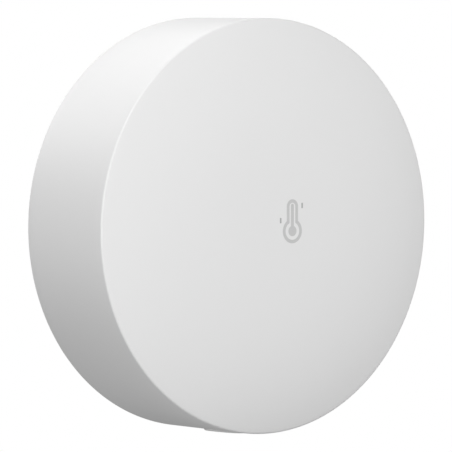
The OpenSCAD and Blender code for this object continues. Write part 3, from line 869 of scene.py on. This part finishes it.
class SENSOR_OT_front_shell(bpy.types.Operator):
    """Drafted cup with a crowned front, cut for the button and the vents"""

    bl_idname = "sensor.front_shell"
    bl_label = "Front Shell"

    CROWN_STEPS, SIDE_STEPS, CEILING_STEPS = 48, 12, 24

    def section(self, body):
        """Half section from the crown's middle round the wall to the middle of the ceiling."""
        rim, wall = body.rim(), body.wall
        corner = (body.outer(rim), rim)
        fall = math.atan(body.crown_power * body.crown / corner[0])
        edge = fillet(corner, TURN / 4 - fall, body.draft, body.rim_fillet)
        foot = fillet((body.outer(body.back), body.back), body.draft, -TURN / 4, body.back_fillet)
        crown = [(r, body.crown_at(r)) for r in steps(0, edge[0][0], self.CROWN_STEPS)[:-1]]
        side = list(zip(*(steps(a, b, self.SIDE_STEPS) for a, b in zip(edge[-1], foot[0]))))[1:-1]
        inner = [(body.outer(body.back) - wall, body.back)]
        for rise, cut in ((-body.groove_half, 0), (0, body.groove_cut), (body.groove_half, 0)):
            depth = body.groove + rise
            inner.append((body.outer(depth) - wall + cut, depth))
        reach = body.outer(rim - wall) - wall
        inwards = reversed(steps(0, reach, self.CEILING_STEPS))
        ceiling = [(r, body.crown_at(r) - wall) for r in inwards]
        return crown + edge + side + foot + inner + ceiling

    def execute(self, context):
        body, button, vents, finish = settings("shell", "button", "vents", "finish")
        white = satin_white("shell_white", finish.shell_white, finish.grain)
        tree = Builder(
            "Crowned Shell",
            Section=outline_mesh("shell_section", self.section(body)),
            Steps=body.segments,
            Vents=vents.number,
            Vent_At=vents.at,
            Vent_Pitch=vents.pitch,
            Vent_Width=vents.width,
            Vent_Length=vents.length,
            Vent_Depth=vents.depth,
            Button_At=button.at,
            Button_Width=button.width + 2 * button.gap,
            Button_Height=button.height + 2 * button.gap,
            Button_Depth=button.depth,
            Key_At=body.key_at,
            Key_In=body.key_in,
            Key_Out=body.outer(body.key_end) - body.wall / 2,
            Key_Width=body.key_width,
            Key_Start=body.key_start,
            Key_End=body.key_end,
            Inside=CUT_FROM,
            Outside=CUT_TO,
            Finish=white,
        )
        near, far, low, high = (tree["Key_" + name] for name in ("In", "Out", "Start", "End"))
        rib = tree.block(far - near, high - low, tree["Key_Width"])
        rib = tree.moved(rib, (far + near) * 0.5, (high + low) * -0.5)
        rib = tree.real(tree.row_round(rib, 1, tree["Key_At"], 0.0))
        cup = tree.union(tree.turned(), rib)
        slot = tree.pill(tree["Vent_Length"], tree["Vent_Width"], tree["Vent_Depth"])
        slots = tree.row_round(slot, tree["Vents"], tree["Vent_At"], tree["Vent_Pitch"])
        mouth = tree.pill(tree["Button_Height"], tree["Button_Width"], tree["Button_Depth"])
        mouths = tree.row_round(mouth, 1, tree["Button_At"], 0.0)
        cuts = tree.real(tree.join(slots, mouths))
        mesh = tree.mesh("front_shell_moulding", tree.minus(cup, cuts))

        def at_mouth(edge):
            """Whether an edge bounds a cut in the wall's outer face."""
            middle = (edge.verts[0].co + edge.verts[1].co) / 2
            outside = math.hypot(middle.x, middle.z) > body.outer(-middle.y) - NEAR
            return outside and is_sharp(edge)

        round_mesh(mesh, body.mouth_edge, at_mouth)
        piece("shell_moulding", smooth(mesh), "housing", "shell_plastic", white, "front_shell")
        return {"FINISHED"}


class SENSOR_OT_pairing_button(bpy.types.Operator):
    """Button cap, a little flatter than the wall, with its ears behind the wall and its stem"""

    bl_idname = "sensor.pairing_button"
    bl_label = "Pairing Button"

    EDGE_STEPS, BAND_STEPS, STEM_STEPS = 6, 28, 24
    # Insets of the loops of points on the cap's outer face.
    FACE_INSETS = (0.5 * MM, 0.9 * MM, 1.3 * MM, 1.7 * MM, 2.0 * MM)

    def cap(self, bm, body, button):
        """Cap with a rounded edge and a flat inner face."""

        def loop(inset, drop, flat=None):
            found = []
            for across, along in pill_loop(button.width, button.height, inset):
                depth = button.depth + along
                sag = button.curve - math.sqrt(button.curve ** 2 - across ** 2)
                reach = body.outer(depth) + button.proud - sag - drop
                found.append(bm.verts.new((across, -depth, -(reach if flat is None else flat))))
            return found

        loops = [loop(0, 0, button.inner)]
        for turn in steps(0, TURN / 4, self.EDGE_STEPS):
            loops.append(loop(*(button.edge * (1 - c) for c in (math.cos(turn), math.sin(turn)))))
        loops += [loop(inset, 0) for inset in self.FACE_INSETS]
        for one, two in zip(loops, loops[1:]):
            bridge(bm, one, two)
        bm.faces.new(list(reversed(loops[0])))
        last, number, half = loops[-1], len(loops[-1]), PILL_ENDS // 2
        for i in range(number // 2):
            places = (half + i, half + i + 1, half - i - 1, half - i)
            corners = list(dict.fromkeys(last[place % number] for place in places))
            if len(corners) > 2:
                bm.faces.new(corners)

    def band(self, bm, button):
        """Curved band whose two ends are the ears."""
        depth, half = button.depth + button.drop, button.ear_height / 2
        reach = button.width / 2 + button.ear_reach
        loops = []
        for x in steps(-reach, reach, self.BAND_STEPS):
            out, back = (math.sqrt(r ** 2 - x * x) for r in (button.ear_out, button.ear_in))
            corners = ((out, half), (back, half), (back, -half), (out, -half))
            loops.append([bm.verts.new((x, -(depth + rise), -radius)) for radius, rise in corners])
        closed_run(bm, loops)

    def stem(self, bm, button):
        """Round stem from the band to the switch's plunger."""
        depth = button.depth + button.drop
        ring = arc(0, depth, button.stem / 2, 0, TURN, self.STEM_STEPS)[:-1]
        ends = (BUTTON_HIGH.z, -(button.ear_in + button.ear_out) / 2)
        closed_run(bm, [[bm.verts.new((x, -y, z)) for x, y in ring] for z in ends])

    def execute(self, context):
        body, button, finish = settings("shell", "button", "finish")
        bm = bmesh.new()
        self.cap(bm, body, button)
        self.band(bm, button)
        self.stem(bm, button)
        white = satin_white("button_white", finish.shell_white, finish.grain)
        tree = Builder("One Body", Parts=outward_mesh(bm, "button_parts"), Finish=white)
        mesh = tree.mesh("button_moulding", tree.union(tree["Parts"], crossing=True))
        piece("button_moulding", smooth(mesh), "button", "shell_plastic", white, "pairing_button")
        return {"FINISHED"}


class SENSOR_OT_printed_sign(bpy.types.Operator):
    """Thermometer sign printed on the crown"""

    bl_idname = "sensor.printed_sign"
    bl_label = "Printed Sign"

    BULB_STEPS, TUBE_STEPS = 28, 10

    def keyhole(self, bulb, tube, middle, top):
        """Outline of a bulb with a tube that ends in a round top, from the bulb's lowest point."""
        right = arc(0, middle, bulb, -TURN / 4, math.acos(tube / bulb), self.BULB_STEPS)
        right += [(tube, v) for v in steps(right[-1][1], top - tube, self.TUBE_STEPS)[1:]]
        right += arc(0, top - tube, tube, 0, TURN / 4, self.TUBE_STEPS)[1:]
        return right + [(-u, v) for u, v in reversed(right[1:-1])]

    def tick(self, across, middle, width, height):
        """Outline of one scale mark with slightly rounded corners."""
        sides = ((-1, -1), (-1, 1), (1, 1), (1, -1))
        corners = [(across + x * width / 2, middle + y * height / 2, width / 5) for x, y in sides]
        return rounded(corners, closed=True)[:-1]

    def execute(self, context):
        sign, body = settings("sign", "shell")
        foot = sign.up - sign.height / 2

        def ring(bm, points, lift):
            """Loop of vertices over points of the sign, lifted off the crown."""
            found = []
            for u, v in points:
                x, z = sign.across + u, foot + v
                found.append(bm.verts.new((x, -(body.crown_at(math.hypot(x, z)) + lift), z)))
            return found

        def plate(bm, outer, hole=None):
            """Closed plate inside an outline, round a hole if there is one."""
            rim = [ring(bm, outer, -sign.sunk), ring(bm, outer, sign.film)]
            if not hole:
                closed_run(bm, rim)
                return
            eye = [ring(bm, hole, -sign.sunk), ring(bm, hole, sign.film)]
            for one, two in (rim, eye[::-1], (rim[1], eye[1]), (eye[0], rim[0])):
                bridge(bm, one, two)

        def printed(name, tint, *plates):
            bm = bmesh.new()
            for outlines in plates:
                plate(bm, *outlines)
            mesh = smooth(outward_mesh(bm, name))
            piece(name, mesh, "housing", "shell_plastic", print_ink(name + "_ink", tint))

        centre, top, stroke = sign.bulb, sign.height, sign.stroke
        outer = self.keyhole(sign.bulb, sign.tube, centre, top)
        inner = self.keyhole(sign.bulb - stroke, sign.tube - stroke, centre, top - stroke)
        drop = self.keyhole(sign.dot, sign.column, centre, sign.column_top)
        printed("thermometer_print", sign.ink, (outer, inner), (drop,))
        size = (sign.tick_width, sign.tick_height)
        left = self.tick(-sign.tick_left, sign.tick_left_up, *size)
        right = self.tick(sign.tick_right, sign.tick_right_up, *size)
        printed("scale_marks", sign.tick_ink, (left,), (right,))
        return {"FINISHED"}


class SENSOR_OT_rear_cover(bpy.types.Operator):
    """Rear cover and its bayonet door, with two raised arrows that show which way the door turns"""

    bl_idname = "sensor.rear_cover"
    bl_label = "Rear Cover And Door"

    ARROW_STEPS = 14

    def arrow(self, door):
        """Face of one curved arrow round the axis, whose head points the way the door opens."""
        radius, half, barb = door.arrow_radius, door.arrow_width / 2, door.arrow_head * 0.6
        tip = door.arrow_sweep / 2
        neck = tip - door.arrow_head / radius
        outline = [(radius - half, t) for t in steps(-tip, neck, self.ARROW_STEPS)]
        outline += [(radius - barb, neck), (radius, tip), (radius + barb, neck)]
        outline += [(radius + half, t) for t in steps(neck, -tip, self.ARROW_STEPS)]
        points = [(r * math.cos(t), 0, -r * math.sin(t)) for r, t in outline]
        mesh = bpy.data.meshes.new("arrow_outline")
        mesh.from_pydata(points, [], [list(range(len(points)))])
        if mesh.polygons[0].normal.y < 0:
            mesh.flip_normals()
        return mesh

    def execute(self, context):
        door, finish = settings("door", "finish")
        mouldings = (("rear_cover", "cover", "housing"), ("battery_door", "door", "door"))
        for node, name, body in mouldings:
            white = spark_white(name + "_white", finish.cover_white)
            mesh = softened(node, door.edge, DOOR_BACK)
            piece(name + "_moulding", mesh, body, "cover_plastic", white, node)
        tree = Builder(
            "Door Arrows",
            Outline=self.arrow(door),
            Number=door.arrows,
            Proud=door.arrow_proud,
            Sunk=door.arrow_sunk,
            Depth=DOOR_BACK,
            Finish=white,
        )
        face = tree.moved(tree["Outline"], 0.0, -tree["Depth"] - tree["Sunk"])
        ridge = tree.thick(face, (0, 1, 0), tree["Proud"] + tree["Sunk"])
        around = tree.row_round(ridge, tree["Number"], 0.0, TURN / tree["Number"])
        mesh = tree.mesh("door_arrows", around)
        top = door.arrow_proud - DOOR_BACK - NEAR

        def at_top(edge):
            """Whether an edge bounds the raised face of an arrow."""
            return is_sharp(edge) and all(v.co.y > top for v in edge.verts)

        round_mesh(mesh, door.arrow_edge, at_top)
        piece("door_arrows", weighted(smooth(mesh, 50)), "door", "cover_plastic", white)
        return {"FINISHED"}


class SENSOR_OT_adhesive_pad(bpy.types.Operator):
    """Die-cut foam ring with an adhesive film on both faces"""

    bl_idname = "sensor.adhesive_pad"
    bl_label = "Adhesive Pad"

    def execute(self, context):
        pad, finish = settings("pad", "finish")
        inner, out, thick = pad.inner, PAD_HIGH.x, -PAD_LOW.y
        waist, edge = pad.waist, pad.edge
        section = rounded(
            [
                (inner, thick, edge), (out, thick, edge), (out - waist, thick / 2, waist),
                (out, 0, edge), (inner, 0, edge), (inner + waist, thick / 2, waist),
            ],
            closed=True,
        )
        grey = foam("pad_foam", finish.foam_grey, thick)
        ring = turned_piece("foam_ring", section, "pad_foam", grey, "adhesive_pad", STEPS_FOAM)
        return {"FINISHED"}


class SENSOR_OT_coin_cell(bpy.types.Operator):
    """Coin cell: the can with its plus sign, the seal and the cap"""

    bl_idname = "sensor.coin_cell"
    bl_label = "Coin Cell"

    def stamped(self, cell, radius, face, sink):
        """Corners of a stamped ring in a flat face, from its outer edge inwards."""
        ring, stamp = radius - cell.stamp_in, cell.stamp
        return [
            (ring, face, stamp), (ring - 2 * stamp, face + sink, stamp),
            (ring - 8 * stamp, face + sink, stamp), (ring - 10 * stamp, face, stamp),
        ]

    def can(self, cell):
        """Half section of the can."""
        radius, face, top = CAN_HIGH.x, -CAN_HIGH.y, -CAN_LOW.y
        seat, wall = -CAP_HIGH.y, cell.can_wall
        return rounded([
            (0, seat, 0), (radius - wall, seat, 0),
            (radius - wall, top, wall * 0.2), (radius, top, wall * 0.5), (radius, face, cell.edge),
            *self.stamped(cell, radius, face, cell.stamp), (0, face, 0),
        ])

    def cap(self, cell):
        """Half section of the cap."""
        radius, front, seat = CAP_HIGH.x, -CAP_LOW.y, -CAP_HIGH.y
        ring = reversed(self.stamped(cell, radius, front, -cell.stamp))
        side = [(radius, front, cell.edge), (radius, seat, 0), (0, seat, 0)]
        return rounded([(0, front, 0), *ring, *side])

    def execute(self, context):
        cell = settings("cell")
        nickel = brushed_metal("cell_nickel", (0.74, 0.74, 0.75), 0.24)
        tree = Builder(
            "Coin Can",
            Section=outline_mesh("can_section", self.can(cell)),
            Steps=STEPS_ROUND,
            Long=cell.plus,
            Stroke=cell.plus_stroke,
            Cut=cell.plus_cut,
            Up=cell.plus_up,
            Face=-CAN_HIGH.y,
            Finish=nickel,
        )
        cut = tree.minus(tree.turned(), *tree.cross(tree["Face"], tree["Up"]))
        mesh = weighted(smooth(tree.mesh("cell_can_drawn", cut)))
        piece("cell_can_drawn", mesh, "housing", "cell_steel", nickel, "cell_can")
        plated = brushed_metal("cell_nickel_cap", (0.76, 0.76, 0.76), 0.27, LINES_ACROSS)
        turned_piece("cell_cap_drawn", self.cap(cell), "cell_steel", plated, "cell_cap")
        inner, outer = CAP_HIGH.x + cell.seal_gap, SEAL_HIGH.x
        section = ring_section(inner, outer, -SEAL_HIGH.y, -SEAL_LOW.y, (outer - inner) * 0.2)
        seal = moulded_resin("seal_black", (0.12, 0.12, 0.13))
        turned_piece("cell_seal", section, "seal_plastic", seal, "cell_gasket")
        return {"FINISHED"}


class SENSOR_OT_board(bpy.types.Operator):
    """Board under its solder mask, with its row of plated holes and the printed antenna"""

    bl_idname = "sensor.board"
    bl_label = "Board"

    def execute(self, context):
        board = settings("board")
        mask = laminate("solder_mask", (0.03, 0.2, 0.1))
        plate = softened("main_board", board.edge)
        piece("board_laminate", plate, "housing", "board_laminate", mask, "main_board")
        copper = brushed_metal("track_copper", (0.75, 0.5, 0.24), 0.3)
        track = softened("antenna_trace", board.track_edge)
        piece("antenna_copper", track, "housing", "track_copper", copper, "antenna_trace")
        gold = brushed_metal("plated_gold", (0.83, 0.66, 0.36), 0.22)
        bore = board.hole / 2
        low, high = BOARD_FRONT - board.land_sunk, BOARD_FRONT + board.plating
        section = ring_section(bore, bore + board.land, low, high, board.plating * 0.4, parts=1)
        tree = Builder(
            "Plated Holes",
            Section=outline_mesh("hole_section", section),
            Steps=STEPS_HOLE,
            Number=board.holes,
            Middle=board.holes_middle,
            Pitch=board.holes_pitch,
            Ring=board.holes_ring,
            Finish=gold,
        )
        hole = tree.moved(tree.turned(), tree["Ring"])
        row = tree.row_round(hole, tree["Number"], tree["Middle"], tree["Pitch"])
        mesh = smooth(tree.mesh("plated_holes", row))
        piece("plated_holes", mesh, "housing", "track_copper", gold)
        return {"FINISHED"}


class SENSOR_OT_small_parts(bpy.types.Operator):
    """Chips, crystal, light and the rows of capacitors and resistors, with their tinned ends"""

    bl_idname = "sensor.small_parts"
    bl_label = "Small Parts"

    PARTS = (
        (
            "radio_chip", "housing", "chip_resin", 0.06,
            moulded_resin, "chip_resin", (0.04, 0.04, 0.045),
        ),
        (
            "sensor_chip", "housing", "chip_resin", 0.05,
            moulded_resin, "sensor_resin", (0.05, 0.05, 0.055), 0.42,
        ),
        (
            "radio_crystal", "housing", "crystal_lid", 0.05,
            brushed_metal, "crystal_lid", (0.78, 0.75, 0.66), 0.2,
        ),
        (
            "status_led", "housing", "led_lens", 0.05,
            moulded_resin, "lens_resin", (0.9, 0.92, 0.82), 0.12, 0.4,
        ),
        (
            "chip_capacitors", "housing", "capacitor_ceramic", 0.05,
            moulded_resin, "capacitor_ceramic", (0.5, 0.36, 0.24), 0.45,
        ),
        (
            "chip_resistors", "housing", "resistor_ceramic", 0.03,
            moulded_resin, "resistor_glaze", (0.05, 0.05, 0.055), 0.25,
        ),
    )
    TIN = (0.78, 0.78, 0.79)

    def terminal(self, long, wide, tall, skin):
        """Tinned end of a small chip, with its solder running down to the board."""
        end, wrap, foot = long / 2, long * 0.2, long * 0.14
        face = end + skin
        side = rounded([
            (end - wrap, -skin, 0), (end - wrap, tall + skin, skin), (face, tall + skin, 2 * skin),
            (face, tall * 0.6, 0), (face + foot * 0.3, tall * 0.25, 0), (face + foot, -skin, 0),
        ], parts=2)
        half = wide / 2 + skin
        bm = bmesh.new()
        closed_run(bm, [
            [bm.verts.new((x, -(BOARD_FRONT + up), z)) for x, up in side] for z in (-half, half)
        ])
        return outward_mesh(bm, "terminal")

    def row_of_ends(self, kind, number, long, wide, tall, skin):
        """Both tinned ends of every chip in a row that runs upwards."""
        name = kind + "_ends"
        low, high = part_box(f"chip_{kind}s")
        tin = brushed_metal(name + "_tin", self.TIN, 0.3)
        tree = Builder(
            "Tinned Ends",
            End=self.terminal(long, wide, tall, skin),
            Number=number,
            Pitch=(high.z - low.z - wide) / (number - 1),
            Across=(low.x + high.x) / 2,
            First=low.z + wide / 2,
            Finish=tin,
        )
        row = tree.row_up(tree["Across"], tree["First"])
        both = [tree.copies(row, tree["End"], (0, turn, 0)) for turn in (0, TURN / 2)]
        mesh = tree.mesh(name, tree.join(*both))
        piece(name, smooth(mesh, 40), "housing", "contact_steel", tin)

    def leads(self, board):
        """Tinned leads along the four sides of the radio chip."""
        low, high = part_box("radio_chip")
        pitch = board.radio_side / (board.radio_leads + 1)
        tin = brushed_metal("lead_tin", self.TIN, 0.28)
        tree = Builder(
            "Chip Leads",
            Number=board.radio_leads,
            Pitch=pitch,
            Reach=board.radio_side / 2,
            Width=pitch * 0.54,
            Long=board.lead_long,
            Tall=board.lead_tall,
            At=(low.x + high.x) / 2,
            Up=(low.z + high.z) / 2,
            Depth=BOARD_FRONT + board.lead_tall / 2 - board.lead_sunk,
            Finish=tin,
        )
        lead = tree.block(tree["Long"], tree["Tall"], tree["Width"])
        points = tree.row_up(tree["Reach"], -tree["Pitch"] * (tree["Number"] - 1) * 0.5)
        row = tree.real(tree.copies(points, lead))
        sides = tree.row_round(row, 4, TURN / 8, TURN / 4)
        mesh = tree.mesh("radio_leads", tree.moved(sides, tree["At"], -tree["Depth"], tree["Up"]))
        round_mesh(mesh, board.lead_edge, lambda edge: True, segments=1)
        piece("radio_leads", smooth(mesh, 40), "housing", "contact_steel", tin)

    def execute(self, context):
        board = settings("board")
        dress(self.PARTS, "_body")
        for kind, share in (("capacitor", 1.0), ("resistor", 0.7)):
            number, long, wide = (getattr(board, kind + end) for end in ("s", "_long", "_wide"))
            self.row_of_ends(kind, number, long, wide, wide * share, board.tin)
        self.leads(board)
        return {"FINISHED"}


class SENSOR_OT_switch_and_contacts(bpy.types.Operator):
    """Side-push switch and the two spring blades of the cell"""

    bl_idname = "sensor.switch_and_contacts"
    bl_label = "Switch And Contacts"

    STEEL = (0.77, 0.76, 0.74)
    PARTS = (
        (
            "switch_body", "housing", "switch_resin", 0.05,
            moulded_resin, "switch_resin", (0.06, 0.06, 0.065), 0.48,
        ),
        (
            "switch_cover", "housing", "contact_steel", 0.04,
            brushed_metal, "switch_lid", STEEL, 0.26,
        ),
        (
            "switch_plunger", "button", "plunger_resin", 0.08,
            moulded_resin, "plunger_resin", (0.82, 0.8, 0.74), 0.4,
        ),
        (
            "positive_contact", "housing", "contact_steel", 0.03,
            brushed_metal, "spring_steel", STEEL, 0.24,
        ),
        (
            "negative_contact", "housing", "contact_steel", 0.03,
            brushed_metal, "spring_steel_low", STEEL, 0.24, LINES_ACROSS,
        ),
    )

    def execute(self, context):
        dress(self.PARTS, "_formed")
        return {"FINISHED"}


class SENSOR_OT_board_screws(bpy.types.Operator):
    """Three pan-head screws with a cross recess and cut threads"""

    bl_idname = "sensor.board_screws"
    bl_label = "Board Screws"

    def section(self, screw):
        """Half section of one screw, from the middle of its head to its tip."""
        top, seat, tip = -SCREWS_LOW.y, BOARD_FRONT, -SCREWS_HIGH.y
        head, shank, pitch = screw.head / 2, screw.shank / 2, screw.pitch
        core = shank - screw.thread
        lip = screw.head * 0.14
        points = rounded([(0, top, 0), (head, top, lip), (head, seat, 0), (shank, seat, 0)])
        thread = ((shank, 0), (core, 0.35), (core, 0.6), (shank, 0.9))
        for i in range(int((seat - tip - shank) / pitch)):
            start = seat - screw.neck - i * pitch
            points += [(radius, start - pitch * share) for radius, share in thread]
        return points + [(shank * 0.9, tip + shank * 0.5), (shank * 0.35, tip), (0, tip)]

    def execute(self, context):
        screw = settings("screws")
        zinc = brushed_metal("screw_zinc", (0.7, 0.7, 0.71), 0.28)
        tree = Builder(
            "Cross Screws",
            Section=outline_mesh("screw_section", self.section(screw)),
            Steps=STEPS_SCREW,
            Number=screw.number,
            First=TURN / 4,
            Ring=SCREWS_HIGH.z - screw.head / 2,
            Long=screw.cross,
            Stroke=screw.cross_stroke,
            Cut=screw.cross_cut,
            Top=-SCREWS_LOW.y,
            Finish=zinc,
        )
        cut = tree.minus(tree.turned(), *tree.cross(tree["Top"]))
        number = tree["Number"]
        middle = tree["First"] + (number - 1) * (TURN / 2) / number
        row = tree.row_round(tree.moved(cut, tree["Ring"]), number, middle, TURN / number)
        mesh = weighted(smooth(tree.mesh("cross_screws", row)))
        piece("cross_screws", mesh, "housing", "screw_steel", zinc, "board_screws")
        return {"FINISHED"}


def direction(turn, rise):
    """Unit vector from the sensor towards a place round it and above the horizon."""
    level = math.cos(rise)
    return Vector((math.sin(turn) * level, -math.cos(turn) * level, math.sin(rise)))


class SENSOR_OT_stage(bpy.types.Operator):
    """Pale floor, soft studio light and the camera"""

    bl_idname = "sensor.stage"
    bl_label = "Stage"

    def lamp(self, name, azimuth, elevation, power, stage):
        """Soft round light that looks at the sensor from a direction."""
        data = bpy.data.lights.new(name, "AREA")
        data.shape = "DISK"
        data.size = stage.light_size
        data.energy = power * stage.light_gain
        made = placed(name, data)
        back = direction(math.radians(azimuth), math.radians(elevation))
        middle = Vector((0, (CAD_BOX[0].y + CAD_BOX[1].y) / 2, 0))
        made.location = middle + back * stage.light_distance
        made.rotation_mode = "QUATERNION"
        made.rotation_quaternion = (-back).to_track_quat("-Z", "Y")

    def white_to_camera(self, graph, output, kind, dimmed):
        """Ends a tree in plain white for the camera and in a dimmer light for every other ray."""
        seen = graph.add("ShaderNodeLightPath", out="Is Camera Ray")
        white = graph.add(kind, inputs={"Color": WHITE, "Strength": 1.0})
        graph.end(output, graph.add("ShaderNodeMixShader", inputs={0: seen, 1: dimmed, 2: white}))

    def sky(self, stage):
        """Even light from all round."""
        world = bpy.data.worlds.new("studio")
        world.use_nodes = True
        bpy.context.scene.world = world
        graph = Graph(world.node_tree)
        fill = graph.add("ShaderNodeBackground", inputs={"Color": WHITE, "Strength": stage.fill})
        self.white_to_camera(graph, "ShaderNodeOutputWorld", "ShaderNodeBackground", fill)

    def floor(self, stage):
        """Round white table that glows, more so before the sensor's front, and takes no shadow."""
        bm = bmesh.new()
        bmesh.ops.create_circle(bm, cap_ends=True, segments=96, radius=stage.floor_radius)
        mesh = mesh_of(bm, "floor")
        table = bpy.data.materials.new("pale_table")
        table.use_nodes = True
        graph = Graph(table.node_tree)
        before = graph.add(
            "ShaderNodeMapRange",
            {"interpolation_type": "SMOOTHSTEP"},
            {
                "Value": -graph.axis(graph.add("ShaderNodeTexCoord", out="Object"), "Y"),
                "From Min": stage.floor_turn - stage.floor_blend / 2,
                "From Max": stage.floor_turn + stage.floor_blend / 2,
            },
        )
        beside, front = (
            graph.add("ShaderNodeEmission", inputs={"Color": WHITE, "Strength": strength})
            for strength in (stage.floor_glow, stage.floor_front)
        )
        glow = graph.add("ShaderNodeMixShader", inputs={0: before, 1: beside, 2: front})
        self.white_to_camera(graph, "ShaderNodeOutputMaterial", "ShaderNodeEmission", glow)
        mesh.materials.append(table)
        plate = placed("floor", mesh)
        plate.location.z = CAD_BOX[0].z - stage.floor_gap

    def camera(self, stage, body):
        """Camera at the photo's angle."""
        data = bpy.data.cameras.new("photo_camera")
        data.lens = stage.lens
        data.sensor_width = 36
        data.clip_start = 0.01
        data.clip_end = 10
        camera = placed("photo_camera", data)
        back = direction(stage.azimuth, stage.elevation)
        right = Vector((math.cos(stage.azimuth), math.sin(stage.azimuth), 0))
        up = back.cross(right)
        spot = Vector((0, -body.rim(), 0)) + back * stage.distance
        spot += right * stage.shift_right + up * stage.shift_up
        turned = Matrix((right, up, back)).transposed().to_4x4()
        camera.matrix_world = Matrix.Translation(spot) @ turned
        bpy.context.scene.camera = camera

    def execute(self, context):
        stage, body = settings("stage", "shell")
        bpy.context.scene.view_settings.view_transform = "Standard"
        self.sky(stage)
        self.floor(stage)
        for name, values in LIGHTS.items():
            self.lamp(name, *values, stage)
        self.camera(stage, body)
        return {"FINISHED"}


class SENSOR_PT_sidebar(bpy.types.Panel):
    """Lists the pieces of the sensor"""

    bl_idname = "SENSOR_PT_sidebar"
    bl_label = "Round Wall Sensor"
    bl_space_type = "VIEW_3D"
    bl_region_type = "UI"
    bl_category = "Sensor"

    def draw(self, context):
        for operator in OPERATORS:
            self.layout.operator(operator.bl_idname)


SETTINGS = {
    "shell": SensorShellSettings,
    "button": SensorButtonSettings,
    "vents": SensorVentSettings,
    "sign": SensorSignSettings,
    "door": SensorDoorSettings,
    "pad": SensorPadSettings,
    "cell": SensorCellSettings,
    "board": SensorBoardSettings,
    "screws": SensorScrewSettings,
    "finish": SensorFinishSettings,
    "stage": SensorStageSettings,
}
OPERATORS = (
    SENSOR_OT_front_shell,
    SENSOR_OT_pairing_button,
    SENSOR_OT_printed_sign,
    SENSOR_OT_rear_cover,
    SENSOR_OT_adhesive_pad,
    SENSOR_OT_coin_cell,
    SENSOR_OT_board,
    SENSOR_OT_small_parts,
    SENSOR_OT_switch_and_contacts,
    SENSOR_OT_board_screws,
    SENSOR_OT_stage,
)


def register():
    for group in (*SETTINGS.values(), *OPERATORS, SENSOR_PT_sidebar):
        bpy.utils.register_class(group)
    for name, group in SETTINGS.items():
        setattr(bpy.types.Scene, "sensor_" + name, PointerProperty(type=group))


def unregister():
    for name in SETTINGS:
        delattr(bpy.types.Scene, "sensor_" + name)
    for group in reversed((*SETTINGS.values(), *OPERATORS, SENSOR_PT_sidebar)):
        bpy.utils.unregister_class(group)


def main():
    register()
    for operator in OPERATORS:
        group, name = operator.bl_idname.split(".")
        getattr(getattr(bpy.ops, group), name)()


if __name__ == "__main__":
    main()
